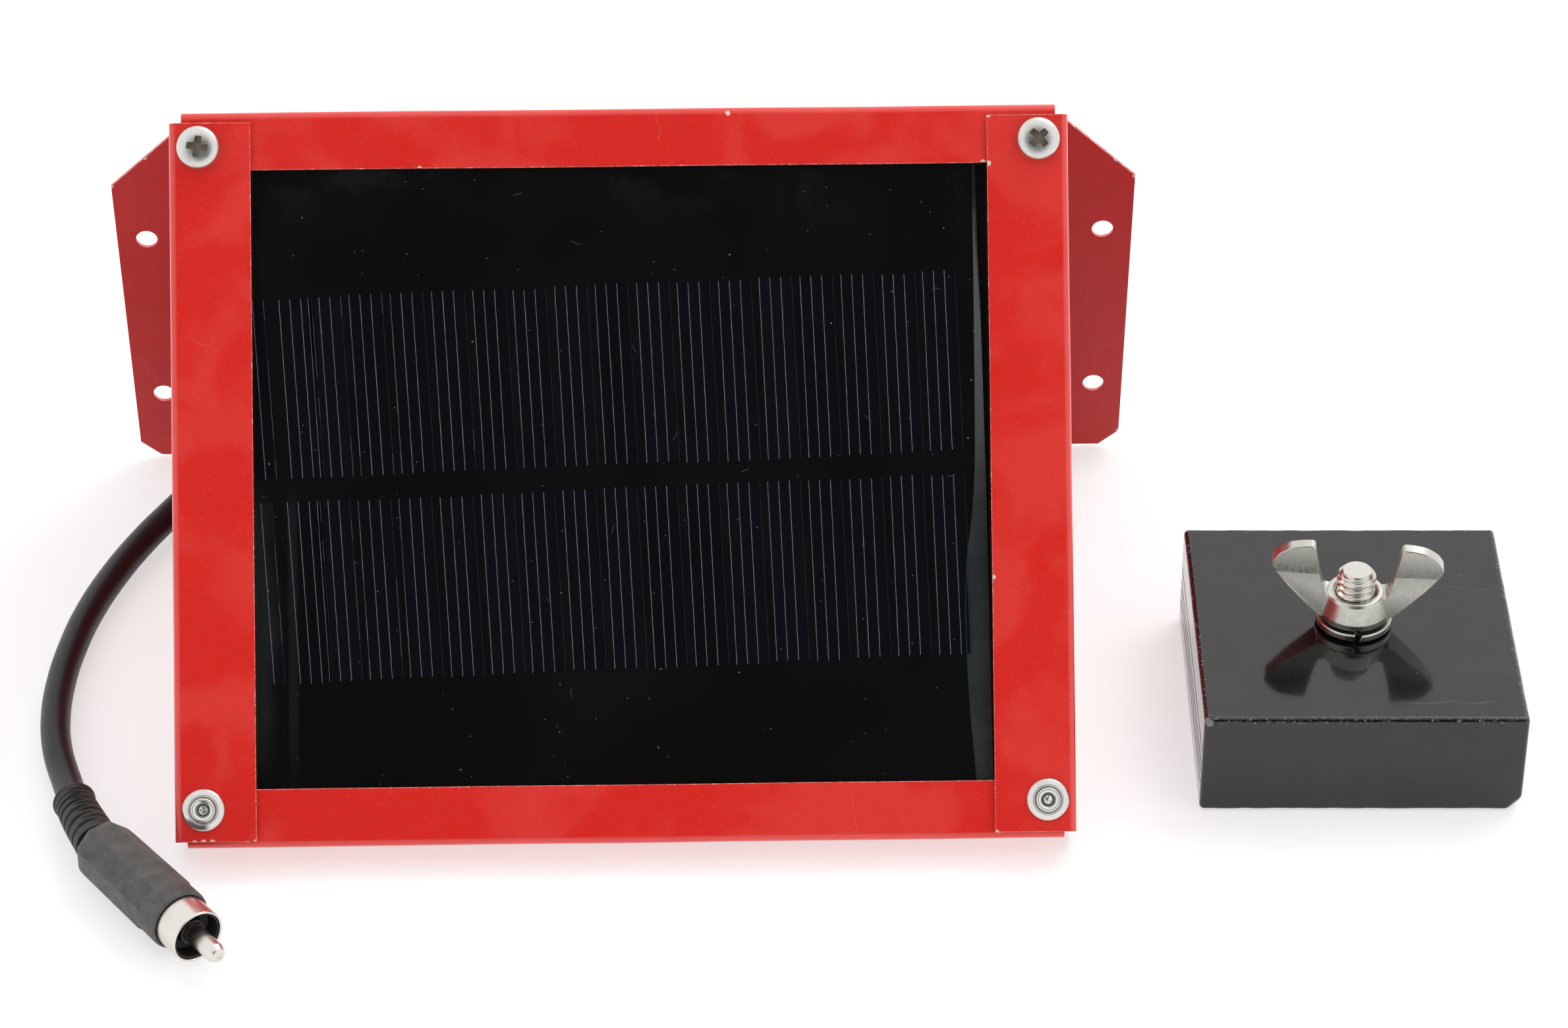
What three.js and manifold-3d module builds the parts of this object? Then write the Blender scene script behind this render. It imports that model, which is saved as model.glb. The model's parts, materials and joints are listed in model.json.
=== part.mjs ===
// A small solar attic fan: a framed solar panel that forms the sloping roof of a sheet-steel hood,
// with a fan inside, a plug lead, and a wooden clamp block with its wing nut.
// Millimetres, +Z up. The head stands on the table on the lower edge of its panel frame and the
// lower edge of its wall flanges. The origin is the middle of the kit's footprint.
import * as THREE from "three";
import { mergeVertices } from "three/addons/utils/BufferGeometryUtils.js";
import Module from "manifold-3d";

const wasm = await Module();
wasm.setup();

// ---- Driving dimensions ----
const GAP = 0.3; // running gap between pieces that touch
const PANEL_TILT = THREE.MathUtils.degToRad(52.9); // panel above the table
const WALL_LEAN = PANEL_TILT - THREE.MathUtils.degToRad(45); // the panel is at 45 degrees to the wall
const HEAD_X = -28.66; // middle of the head
const HEAD_Y = -49.71; // rear lower edge of the panel frame
const WALL_Y = 106.4; // wall face of the flanges, behind HEAD_Y at table level

// Panel frame, folded from 0.5 mm steel into channels.
const FRAME_WIDTH = 139.8;
const FRAME_LENGTH = 114.3;
const FRAME_DEPTH = 9.5;
const FRAME_SHEET = 0.5;
const BEND_RADIUS = 1.3;
const SIDE_FACE = 12.7;
const END_FACE = 9.1;
const SIDE_RAIL_LENGTH = 111.6;
const SIDE_RAIL_START = 1;
const END_RAIL_LENGTH = 136;
const END_RAIL_DROP = FRAME_SHEET + GAP; // the end rails sit inside the side rails
const SCREW_PLACE = { u: 65.2, v: 108.7 };
const RIVET_PLACE = { u: 65.4, v: 6 };
const FASTENER_HOLE_RADIUS = 2;
const SCREW_TIP = -4.6; // below the frame's underside
const RIVET_TIP = -4;

// Solar laminate.
const LAMINATE_HALF_WIDTH = 61.3;
const LAMINATE_LOW = 2.5;
const LAMINATE_HIGH = 111.8;
const BASE_THICKNESS = 1.5;
const CELL_THICKNESS = 0.2;
const COVER_THICKNESS = 0.9;
const GASKET_WIDTH = 4.2;
const CELL_ROW_HEIGHT = 28.3;
const CELL_ROW_PITCH = 31.7;
const CELL_ROW_FROM = -60;
const CELL_ROW_TO = 50.4;
const CELL_ARRAY_TURN = THREE.MathUtils.degToRad(1.8);
const CELL_ARRAY_CENTRE = { u: -4.8, v: 56.8 };

// Hood, folded from 0.6 mm steel.
const SHEET = 0.6;
const CHEEK_OUTSIDE = 69.5;
const WING_OUTSIDE = 84.7;
const WING_HEIGHT = 73;
const WING_TOP_CHAMFER = 12.1;
const WING_BOTTOM_CHAMFER = 3.4;
const WING_HOLE_RADIUS = 1.8;
const WING_HOLES = [{ u: 79.8, v: 14.6 }, { u: 79.8, v: 49.4 }];
const FLANGE_WIDTH = 12;
const FLANGE_LOW = 2.5;
const FLANGE_HIGH = 111.5;
const CHEEK_LIFT = 0.2; // the cheeks' lower edge above the table
const CORD_NOTCH = { from: 85, to: 99, height: 9.8, chamfer: 2 };
const SHELL_HALF_WIDTH = 68.4;
const BACK_SHEET = 0.8;
const BACK_INSET = 0.1; // the wall plate's face, in from the wall
const BACK_TOP = WING_HEIGHT - 1.5;
const FLOOR_FROM = 7;
const FLOOR_TO = 101;
const FLOOR_SLOTS = 8;
const FLOOR_SLOT = { length: 92, width: 3.2, pitch: 8, first: 8 };

// Fan, a 40 mm axial fan on the wall plate.
const FAN_SIZE = 40;
const FAN_DEPTH = 10;
const FAN_BORE_RADIUS = 18.6;
const FAN_CENTRE_V = 42;
const FAN_SCREW_PLACE = 16;
const FAN_HOLE_RADIUS = 1.9;
const FAN_STRUT = 1.2;
const GUARD_WIRE = 1.2;
const SHAFT_RADIUS = 0.9;
const SHAFT_TUBE_RADIUS = 1.4;
const FAN_HUB_RADIUS = 10.5;
const FAN_BLADES = 7;
const FAN_BLADE_TIP = 17.9;

// Junction box and lead.
const BOX = { x: -37, y: 94.3, width: 30, depth: 13, height: 13, floor: 1.3 };
const LID_HEIGHT = 1.6;
const BOX_WALL = 1.4;
const CORD_RADIUS = 2.4;
const GLAND_RADIUS = 4.2;
const GLAND_LENGTH = 6;
const CORD_ROUTE = [
  [-58.6, 95.2, 6.9],
  [-63.5, 94.7, 6.7],
  [-68.7, 92.4, 6.1],
  [-73.4, 88.4, 5.1],
  [-78.2, 82.3, 3.9],
  [-82.6, 75.2, 3.0],
  [-86.3, 66.8, 2.6],
  [-89.2, 57.6, 2.5],
  [-91.1, 48, 2.5],
  [-92.1, 38.5, 2.5],
  [-92.1, 29.5, 2.5],
  [-91, 21, 2.6],
  [-88.3, 11.2, 3],
];
const LEAD_RADIUS = 0.9;
const FAN_LEAD_ROUTE = [
  [-20.4, 97.3, 29.1],
  [-25.5, 97.1, 28],
  [-31.5, 96.2, 24.5],
  [-34.6, 95.2, 20],
  [-35, 95, 16.6],
];
const PANEL_LEAD_ROUTE = [
  [-37, 33.2, 49.7],
  [-37.2, 37.2, 46.4],
  [-38, 48, 36],
  [-40, 64, 26.5],
  [-42.2, 80, 23.5],
  [-43.6, 90.5, 22],
  [-44, 94, 19.5],
  [-44, 94.3, 16.8],
];
const BOOT_ROUTE = [
  [-88.2, 10.9, 3.6],
  [-85.9, 3.3, 4.2],
  [-82.5, -4.9, 5],
];
const BOOT_RADIUS = 3.2;

// Plug, along its own axis from the back of its body.
const PLUG_PLACE = [-81.8, -6.1, 5.2];
const PLUG_HEADING = THREE.MathUtils.degToRad(-52.5);
const PLUG_BODY_LENGTH = 23.2;
const PLUG_BACK_RADIUS = 4.1;
const PLUG_FRONT_RADIUS = 5;
const PLUG_SHELL = { from: 23.5, to: 28, outer: 4.4, inner: 4.05 };
const PLUG_INSULATOR = { from: 23.5, to: 27, outer: 3.7, inner: 1.95 };
const PLUG_PIN = { from: 23.8, to: 34, radius: 1.6 };

// Clamp block with its bolt, lock washer and wing nut.
const BLOCK_PLACE = { x: 87.44, y: -19.7 };
const BLOCK_TURN = THREE.MathUtils.degToRad(-1.18);
const BLOCK_SIDE = 50.8;
const BLOCK_HEIGHT = 18.2;
const BLOCK_EDGE = 0.8;
const BOLT_RADIUS = 3.1;
const BOLT_HOLE_RADIUS = 3.5;
const BOLT_TOP = BLOCK_HEIGHT + 10.3;
const BOLT_HEAD = { radius: 7.4, from: 1, to: 4.6 };
const COUNTERBORE = { radius: 8.2, depth: 4.9 };
const WASHER = { inner: 3.5, outer: 6.1, from: BLOCK_HEIGHT + GAP, to: BLOCK_HEIGHT + GAP + 1.5, split: 1 };
const NUT_FROM = WASHER.to + GAP;
const NUT = { bore: 3.5, baseRadius: 5.7, topRadius: 4.6, height: 4.4 };
const NUT_WING = { span: 27.4, rise: 13.4, thickness: 2.4 };

// ---- Materials ----
function finish(color, roughness, metalness) {
  return new THREE.MeshStandardMaterial({ color, roughness, metalness });
}

const materials = {
  redPaint: finish(0xd8322b, 0.42, 0.1),
  steel: finish(0xc9c7c0, 0.28, 1),
  blackPlastic: finish(0x1c1b1c, 0.55, 0),
  rubber: finish(0x262423, 0.7, 0),
  foam: finish(0x3a3a3c, 0.95, 0),
  cell: finish(0x10131f, 0.25, 0.1),
  board: finish(0x15181a, 0.6, 0),
  resin: finish(0x0b0c0e, 0.2, 0),
  blackPaint: finish(0x0d0d0e, 0.18, 0),
};

// ---- Geometry helpers ----
function toSolid(geometry) {
  const bare = geometry.index ? geometry.toNonIndexed() : geometry.clone();
  for (const name of Object.keys(bare.attributes)) {
    if (name !== "position") bare.deleteAttribute(name);
  }
  const merged = mergeVertices(bare, 1e-4);
  return new wasm.Manifold(new wasm.Mesh({
    numProp: 3,
    vertProperties: merged.attributes.position.array,
    triVerts: new Uint32Array(merged.index.array),
  }));
}

function toGeometry(solid) {
  const mesh = solid.getMesh();
  const geometry = new THREE.BufferGeometry();
  geometry.setAttribute("position", new THREE.BufferAttribute(mesh.vertProperties, 3));
  geometry.setIndex(new THREE.BufferAttribute(mesh.triVerts, 1));
  const faceted = geometry.toNonIndexed();
  faceted.computeVertexNormals();
  return faceted;
}

const join = (...pieces) => toGeometry(pieces.map(toSolid).reduce((whole, piece) => whole.add(piece)));

const cut = (stock, ...tools) =>
  toGeometry(tools.map(toSolid).reduce((whole, tool) => whole.subtract(tool), toSolid(stock)));

// A box between two corners.
function bar(x0, x1, y0, y1, z0, z1) {
  const box = new THREE.BoxGeometry(x1 - x0, y1 - y0, z1 - z0);
  return box.translate((x0 + x1) / 2, (y0 + y1) / 2, (z0 + z1) / 2);
}

// An upright cylinder from z0 to z1.
function rod(x, y, radius, z0, z1, sides = 16) {
  const cylinder = new THREE.CylinderGeometry(radius, radius, z1 - z0, sides);
  return cylinder.rotateX(Math.PI / 2).translate(x, y, (z0 + z1) / 2);
}

function outline(points) {
  return new THREE.Shape(points.map(([x, y]) => new THREE.Vector2(x, y)));
}

// An upright prism on an outline in XY, from z0 to z1.
function prism(shape, z0, z1, curveSegments = 4) {
  const block = new THREE.ExtrudeGeometry(shape, { depth: z1 - z0, bevelEnabled: false, curveSegments });
  return block.translate(0, 0, z0);
}

// A turned piece about Z, from [radius, z] points that run upwards along its outside.
function turned(points, sides = 24) {
  const lathe = new THREE.LatheGeometry(points.map(([r, z]) => new THREE.Vector2(r, z)), sides);
  return lathe.rotateX(Math.PI / 2);
}

// A ring about Z with a square section.
const ring = (inner, outer, z0, z1, sides = 24) =>
  turned([[inner, z0], [outer, z0], [outer, z1], [inner, z1], [inner, z0]], sides);

// Turns a shape drawn with X as depth and Y as height into one that stands in the YZ plane.
const sideways = (geometry) => geometry.rotateX(Math.PI / 2).rotateZ(Math.PI / 2);

function tube(route, radius, sides, steps) {
  const points = route.map((point) => new THREE.Vector3(...point));
  const path = new THREE.CatmullRomCurve3(points, false, "centripetal");
  const section = new THREE.Shape();
  for (let i = 0; i < sides; i += 1) {
    const angle = (2 * Math.PI * i) / sides;
    const corner = [radius * Math.cos(angle), radius * Math.sin(angle)];
    if (i === 0) section.moveTo(...corner);
    else section.lineTo(...corner);
  }
  section.closePath();
  return new THREE.ExtrudeGeometry(section, { steps, extrudePath: path, bevelEnabled: false });
}

// Names a piece and puts it in its group. `side` is -1 for the left-hand twin of a right-hand piece.
function add(group, name, geometry, material, side = 1) {
  const mesh = new THREE.Mesh(geometry, material.clone());
  mesh.name = name;
  mesh.scale.x = side;
  group.add(mesh);
  return mesh;
}

// ---- Frames: the panel's own (across, up the slope, out of its face) and the wall's ----
const panelFrame = new THREE.Group();
panelFrame.rotation.x = PANEL_TILT;
panelFrame.position.z = -END_RAIL_DROP * Math.cos(PANEL_TILT);
panelFrame.updateMatrix();

const wallFrame = new THREE.Group();
wallFrame.rotation.x = Math.PI / 2 + WALL_LEAN;
wallFrame.position.set(0, WALL_Y, SHEET * Math.sin(WALL_LEAN));
wallFrame.updateMatrix();

// A point of a frame, seen from the side as [depth, height].
function sidePoint(frame, up, out) {
  const point = new THREE.Vector3(0, up, out).applyMatrix4(frame.matrix);
  return [point.y, point.z];
}

// ---- Panel frame rails ----
// The section of a folded channel: it opens towards -X, with its web at `outer` and its face at `high`.
function channelSection(outer, faceWidth, low, high) {
  const r = BEND_RADIUS;
  const s = FRAME_SHEET;
  const shape = new THREE.Shape();
  shape.moveTo(outer - faceWidth, high);
  shape.lineTo(outer - faceWidth, high - s);
  shape.lineTo(outer - r, high - s);
  shape.absarc(outer - r, high - r, r - s, Math.PI / 2, 0, true);
  shape.lineTo(outer - s, low + r);
  shape.absarc(outer - r, low + r, r - s, 0, -Math.PI / 2, true);
  shape.lineTo(outer - faceWidth, low + s);
  shape.lineTo(outer - faceWidth, low);
  shape.lineTo(outer - r, low);
  shape.absarc(outer - r, low + r, r, -Math.PI / 2, 0, false);
  shape.lineTo(outer, high - r);
  shape.absarc(outer - r, high - r, r, 0, Math.PI / 2, false);
  shape.closePath();
  return shape;
}

// Holes for the corner screws and rivets through everything that they hold, on the right-hand side.
const screwHole = () => rod(SCREW_PLACE.u, SCREW_PLACE.v, FASTENER_HOLE_RADIUS, -3, FRAME_DEPTH + 1);
const rivetHole = () => rod(RIVET_PLACE.u, RIVET_PLACE.v, FASTENER_HOLE_RADIUS, -3, FRAME_DEPTH + 1);

function sideRail() {
  const section = channelSection(FRAME_WIDTH / 2, SIDE_FACE, 0, FRAME_DEPTH);
  const rail = prism(section, -SIDE_RAIL_START - SIDE_RAIL_LENGTH, -SIDE_RAIL_START, 3).rotateX(Math.PI / 2);
  return cut(rail, screwHole(), rivetHole());
}

// The top rail, with its web along the upper edge; `corner` is the hole near its right-hand end.
function endRail(corner) {
  const section = channelSection(FRAME_LENGTH, END_FACE, END_RAIL_DROP, FRAME_DEPTH - END_RAIL_DROP);
  const rail = sideways(prism(section, -END_RAIL_LENGTH / 2, END_RAIL_LENGTH / 2, 3));
  return cut(
    rail,
    rod(corner.u, corner.v, FASTENER_HOLE_RADIUS, -1, FRAME_DEPTH + 1),
    rod(-corner.u, corner.v, FASTENER_HOLE_RADIUS, -1, FRAME_DEPTH + 1),
  );
}

function panHeadScrew() {
  const under = FRAME_DEPTH + GAP;
  const head = turned([
    [0, SCREW_TIP], [1.3, SCREW_TIP], [1.6, SCREW_TIP + 0.4], [1.6, under], [3.2, under],
    [3.2, under + 0.7], [2.7, under + 1.5], [1.6, under + 2], [0, under + 2.1],
  ], 20);
  const slot = bar(-1.7, 1.7, -0.35, 0.35, under + 1, under + 3);
  const crossSlot = bar(-0.35, 0.35, -1.7, 1.7, under + 1, under + 3);
  return cut(head, slot, crossSlot).translate(SCREW_PLACE.u, SCREW_PLACE.v, 0);
}

function screwNut() {
  const hexagon = new THREE.CylinderGeometry(3.65, 3.65, 2.1, 6).rotateX(Math.PI / 2).translate(0, 0, -2.3);
  return cut(hexagon, rod(0, 0, 1.95, -5, 0)).translate(SCREW_PLACE.u, SCREW_PLACE.v, 0);
}

function blindRivet() {
  const under = FRAME_DEPTH + GAP;
  return turned([
    [0, RIVET_TIP], [1.9, RIVET_TIP], [2.4, RIVET_TIP + 0.7], [2.4, RIVET_TIP + 2.1], [1.6, RIVET_TIP + 2.8],
    [1.6, under], [3.15, under],
    [3.05, under + 0.6], [1.9, under + 1], [1.2, under + 0.9], [1, under + 0.1], [0, under + 0.2],
  ], 20).translate(RIVET_PLACE.u, RIVET_PLACE.v, 0);
}

// ---- Solar laminate ----
const laminateTop = FRAME_DEPTH - END_RAIL_DROP - FRAME_SHEET - GAP;
const coverLow = laminateTop - COVER_THICKNESS;
const cellLow = coverLow - GAP - CELL_THICKNESS;
const baseLow = cellLow - GAP - BASE_THICKNESS;
const gasketLow = END_RAIL_DROP + FRAME_SHEET + GAP;

const laminateSheet = (low, high) =>
  bar(-LAMINATE_HALF_WIDTH, LAMINATE_HALF_WIDTH, LAMINATE_LOW, LAMINATE_HIGH, low, high);

function gasket() {
  const strip = laminateSheet(gasketLow, baseLow - GAP);
  const opening = bar(
    -LAMINATE_HALF_WIDTH + GASKET_WIDTH, LAMINATE_HALF_WIDTH - GASKET_WIDTH,
    LAMINATE_LOW + GASKET_WIDTH, LAMINATE_HIGH - GASKET_WIDTH, gasketLow - 1, baseLow + 1,
  );
  return cut(strip, opening);
}

// One row of shingled cells, `step` rows above the middle of the array.
function cellRow(step) {
  const { u, v } = CELL_ARRAY_CENTRE;
  const middle = step * CELL_ROW_PITCH;
  const row = bar(
    CELL_ROW_FROM - u, CELL_ROW_TO - u,
    middle - CELL_ROW_HEIGHT / 2, middle + CELL_ROW_HEIGHT / 2,
    cellLow, cellLow + CELL_THICKNESS,
  );
  return row.rotateZ(CELL_ARRAY_TURN).translate(u, v, 0);
}

// ---- Hood ----
// Right-hand bracket: the flange under the frame, the cheek and the wall wing, folded from one sheet.
function bracket() {
  const flangeTop = -GAP;
  const flangeLow = flangeTop - SHEET;
  const inside = CHEEK_OUTSIDE - SHEET;
  const flange = bar(
    CHEEK_OUTSIDE - FLANGE_WIDTH, CHEEK_OUTSIDE, FLANGE_LOW, FLANGE_HIGH, flangeLow, flangeTop,
  ).applyMatrix4(panelFrame.matrix);

  const toe = sidePoint(panelFrame, FLANGE_LOW, flangeTop);
  const notch = CORD_NOTCH;
  const cheekOutline = outline([
    toe,
    [toe[0] + 3, CHEEK_LIFT],
    [notch.from, CHEEK_LIFT],
    [notch.from, notch.height - notch.chamfer],
    [notch.from + notch.chamfer, notch.height],
    [notch.to - notch.chamfer, notch.height],
    [notch.to, notch.height - notch.chamfer],
    [notch.to, CHEEK_LIFT],
    sidePoint(wallFrame, 0.15, 0),
    sidePoint(wallFrame, WING_HEIGHT, 0),
    sidePoint(panelFrame, FLANGE_HIGH, flangeTop),
  ]);
  const cheek = sideways(prism(cheekOutline, inside, CHEEK_OUTSIDE));

  const wingOutline = outline([
    [inside, 0],
    [WING_OUTSIDE - WING_BOTTOM_CHAMFER, 0],
    [WING_OUTSIDE, WING_BOTTOM_CHAMFER],
    [WING_OUTSIDE, WING_HEIGHT - WING_TOP_CHAMFER],
    [WING_OUTSIDE - WING_TOP_CHAMFER, WING_HEIGHT],
    [inside, WING_HEIGHT],
  ]);
  const holes = WING_HOLES.map(({ u, v }) => rod(u, v, WING_HOLE_RADIUS, -2, 2));
  const wing = cut(prism(wingOutline, 0, SHEET), ...holes).applyMatrix4(wallFrame.matrix);

  const folded = join(flange, cheek, wing);
  return cut(
    folded,
    screwHole().applyMatrix4(panelFrame.matrix),
    rivetHole().applyMatrix4(panelFrame.matrix),
  );
}

// Wall plate and roof of the hood, one folded sheet.
function hoodShell() {
  const half = SHELL_HALF_WIDTH;
  const plate = bar(-half, half, SHEET, BACK_TOP, BACK_INSET, BACK_INSET + BACK_SHEET);
  const bore = rod(0, FAN_CENTRE_V, FAN_BORE_RADIUS, -1, 2, 32);
  const screwHoles = cornerPlaces().map(([u, v]) => rod(u, v, FAN_HOLE_RADIUS, -1, 2, 12));
  const drilled = cut(plate, bore, ...screwHoles).applyMatrix4(wallFrame.matrix);

  const front = sidePoint(panelFrame, FLANGE_HIGH - 2, -GAP - SHEET - GAP);
  const back = sidePoint(wallFrame, BACK_TOP, BACK_INSET);
  const roofOutline = outline([
    front,
    [front[0], front[1] - SHEET],
    [back[0], back[1] - 1],
    back,
  ]);
  const roof = sideways(prism(roofOutline, -half, half));
  const notches = [-1, 1].map((side) => {
    const notch = bar(SCREW_PLACE.u - 5, SCREW_PLACE.u + 5, SCREW_PLACE.v - 6, SCREW_PLACE.v + 8, -6, 0);
    return notch.translate(side < 0 ? -2 * SCREW_PLACE.u : 0, 0, 0).applyMatrix4(panelFrame.matrix);
  });
  return join(drilled, cut(roof, ...notches));
}

function ventFloor() {
  const plate = bar(-SHELL_HALF_WIDTH, SHELL_HALF_WIDTH, FLOOR_FROM, FLOOR_TO, GAP, GAP + SHEET);
  const slots = [];
  for (let i = 0; i < FLOOR_SLOTS; i += 1) {
    const y = FLOOR_FROM + FLOOR_SLOT.first + i * FLOOR_SLOT.pitch;
    slots.push(bar(-FLOOR_SLOT.length / 2, FLOOR_SLOT.length / 2, y, y + FLOOR_SLOT.width, -1, 2));
  }
  return cut(plate, ...slots);
}

// ---- Fan, in the wall's frame, blowing out of the hood's floor ----
function cornerPlaces() {
  const places = [];
  for (const across of [-1, 1]) {
    for (const up of [-1, 1]) places.push([across * FAN_SCREW_PLACE, FAN_CENTRE_V + up * FAN_SCREW_PLACE]);
  }
  return places;
}

const fanBack = BACK_INSET + BACK_SHEET + GAP;
const fanFront = fanBack + FAN_DEPTH;
const guardLow = fanFront + GAP;

function fanHousing() {
  const half = FAN_SIZE / 2;
  const corner = 3;
  const body = new THREE.Shape();
  body.moveTo(-half + corner, -half);
  body.absarc(half - corner, -half + corner, corner, -Math.PI / 2, 0, false);
  body.absarc(half - corner, half - corner, corner, 0, Math.PI / 2, false);
  body.absarc(-half + corner, half - corner, corner, Math.PI / 2, Math.PI, false);
  body.absarc(-half + corner, -half + corner, corner, Math.PI, 1.5 * Math.PI, false);
  const stock = prism(body, fanBack, fanFront).translate(0, FAN_CENTRE_V, 0);
  const bored = cut(
    stock,
    rod(0, FAN_CENTRE_V, FAN_BORE_RADIUS, 0, 20, 32),
    ...cornerPlaces().map(([u, v]) => rod(u, v, FAN_HOLE_RADIUS, 0, 20, 12)),
  );
  const motorSeat = cut(
    rod(0, FAN_CENTRE_V, FAN_HUB_RADIUS, fanBack, fanBack + FAN_STRUT, 24),
    rod(0, FAN_CENTRE_V, SHAFT_TUBE_RADIUS, 0, 20, 12),
  );
  const struts = [0, 1, 2].map((i) => bar(
    -1, 1, FAN_HUB_RADIUS - 0.5, FAN_BORE_RADIUS + 0.6, fanBack, fanBack + FAN_STRUT,
  ).rotateZ((i * 2 * Math.PI) / 3).translate(0, FAN_CENTRE_V, 0));
  return join(bored, motorSeat, ...struts);
}

function fanRotor() {
  const low = fanBack + 1.6;
  const high = fanFront - 0.3;
  const hub = turned([
    [0, high], [0, high - 1.2], [FAN_HUB_RADIUS - 1.4, high - 1.2], [FAN_HUB_RADIUS - 1.4, low],
    [FAN_HUB_RADIUS - 0.4, low], [FAN_HUB_RADIUS - 0.4, high - 0.6], [FAN_HUB_RADIUS - 1, high], [0, high],
  ]);
  const blades = [];
  for (let i = 0; i < FAN_BLADES; i += 1) {
    const blade = bar(-0.5, 0.5, FAN_HUB_RADIUS - 1, FAN_BLADE_TIP, -4.2, 4.2)
      .rotateY(Math.PI / 4)
      .translate(0, 0, (low + high) / 2)
      .rotateZ((i * 2 * Math.PI) / FAN_BLADES);
    blades.push(blade);
  }
  const shaft = rod(0, 0, SHAFT_RADIUS, fanBack + 0.1, high - 0.6, 12);
  return join(hub, ...blades, shaft);
}

// The wound motor stator, on its tube round the shaft.
const fanStator = () => ring(
  SHAFT_TUBE_RADIUS, FAN_HUB_RADIUS - 2.2, fanBack + FAN_STRUT + GAP, fanFront - 2.2, 20,
).translate(0, FAN_CENTRE_V, 0);

// Wire guard on the hood side of the fan.
function fingerGuard() {
  const low = guardLow;
  const high = low + GUARD_WIRE;
  const half = GUARD_WIRE / 2;
  const reach = FAN_SCREW_PLACE * Math.SQRT2;
  const rings = [5, 10.5, 16].map((radius) => ring(radius - half, radius + half, low, high, 20)
    .translate(0, FAN_CENTRE_V, 0));
  const spoke = (angle) => cut(
    bar(-half, half, -reach, reach, low, high),
    bar(-2, 2, -4.8, 4.8, low - 1, high + 1),
  ).rotateZ(angle).translate(0, FAN_CENTRE_V, 0);
  const eyes = cornerPlaces().map(([u, v]) => rod(u, v, 3.2, low, high, 12));
  const drills = cornerPlaces().map(([u, v]) => rod(u, v, FAN_HOLE_RADIUS, low - 1, high + 1, 12));
  return cut(join(...rings, spoke(Math.PI / 4), spoke(-Math.PI / 4), ...eyes), ...drills);
}

// A pan-head screw through the wall plate, the fan and the guard; its head is on the hood side.
function fanScrew([u, v]) {
  const under = guardLow + GUARD_WIRE + GAP;
  return turned([
    [0, -0.1], [1.5, -0.1], [1.5, under], [2.8, under],
    [2.8, under + 0.8], [1.8, under + 1.7], [0, under + 1.8],
  ], 12).translate(u, v, 0);
}

// ---- Junction box and leads ----
function junctionBox() {
  const { x, y, width, depth, height, floor } = BOX;
  const outer = bar(x - width / 2, x + width / 2, y - depth / 2, y + depth / 2, floor, floor + height);
  const inner = bar(
    x - width / 2 + BOX_WALL, x + width / 2 - BOX_WALL,
    y - depth / 2 + BOX_WALL, y + depth / 2 - BOX_WALL,
    floor + BOX_WALL, floor + height + 1,
  );
  return cut(outer, inner);
}

function junctionLid() {
  const { x, y, width, depth, height, floor } = BOX;
  const low = floor + height + GAP;
  return bar(x - width / 2, x + width / 2, y - depth / 2, y + depth / 2, low, low + LID_HEIGHT);
}

function cordGland() {
  const left = BOX.x - BOX.width / 2 - GAP;
  return turned([
    [0, 0], [GLAND_RADIUS, 0], [GLAND_RADIUS, GLAND_LENGTH * 0.6],
    [GLAND_RADIUS - 1.1, GLAND_LENGTH], [0, GLAND_LENGTH],
  ], 16).rotateY(-Math.PI / 2).translate(left, CORD_ROUTE[0][1], CORD_ROUTE[0][2]);
}

// ---- Plug, turned about Z with its tip upwards, then laid along +X ----
const along = (geometry) => geometry.rotateY(Math.PI / 2);

const plugBody = () => along(turned([
  [0, 0], [PLUG_BACK_RADIUS, 0], [PLUG_FRONT_RADIUS - 0.2, PLUG_BODY_LENGTH - 5],
  [PLUG_FRONT_RADIUS, PLUG_BODY_LENGTH - 4.4], [PLUG_FRONT_RADIUS, PLUG_BODY_LENGTH], [0, PLUG_BODY_LENGTH],
], 16));

const plugRing = ({ from, to, outer, inner }) => along(ring(inner, outer, from, to, 20));

const plugPin = () => along(turned([
  [0, PLUG_PIN.from], [PLUG_PIN.radius, PLUG_PIN.from], [PLUG_PIN.radius, PLUG_PIN.to - 1.4],
  [PLUG_PIN.radius * 0.7, PLUG_PIN.to - 0.4], [0, PLUG_PIN.to],
], 16));

// ---- Clamp block ----
function clampBlock() {
  const half = BLOCK_SIDE / 2;
  const square = outline([[-half, -half], [half, -half], [half, half], [-half, half]]);
  const body = new THREE.ExtrudeGeometry(square, {
    depth: BLOCK_HEIGHT - 2 * BLOCK_EDGE,
    bevelThickness: BLOCK_EDGE,
    bevelSize: BLOCK_EDGE,
    bevelOffset: -BLOCK_EDGE,
    bevelSegments: 1,
  }).translate(0, 0, BLOCK_EDGE);
  return cut(
    body,
    rod(0, 0, BOLT_HOLE_RADIUS, -1, BLOCK_HEIGHT + 1),
    rod(0, 0, COUNTERBORE.radius, -1, COUNTERBORE.depth, 24),
  );
}

const blockBolt = () => turned([
  [0, BOLT_HEAD.from], [BOLT_HEAD.radius - 0.6, BOLT_HEAD.from], [BOLT_HEAD.radius, BOLT_HEAD.from + 1],
  [BOLT_HEAD.radius, BOLT_HEAD.to], [BOLT_RADIUS, BOLT_HEAD.to], [BOLT_RADIUS, BOLT_TOP - 0.6],
  [BOLT_RADIUS - 0.6, BOLT_TOP], [0, BOLT_TOP],
]);

function lockWasher() {
  const { inner, outer, from, to, split } = WASHER;
  const slit = bar(-split / 2, split / 2, -outer - 1, 0, from - 1, to + 1);
  return cut(ring(inner, outer, from, to), slit);
}

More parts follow.
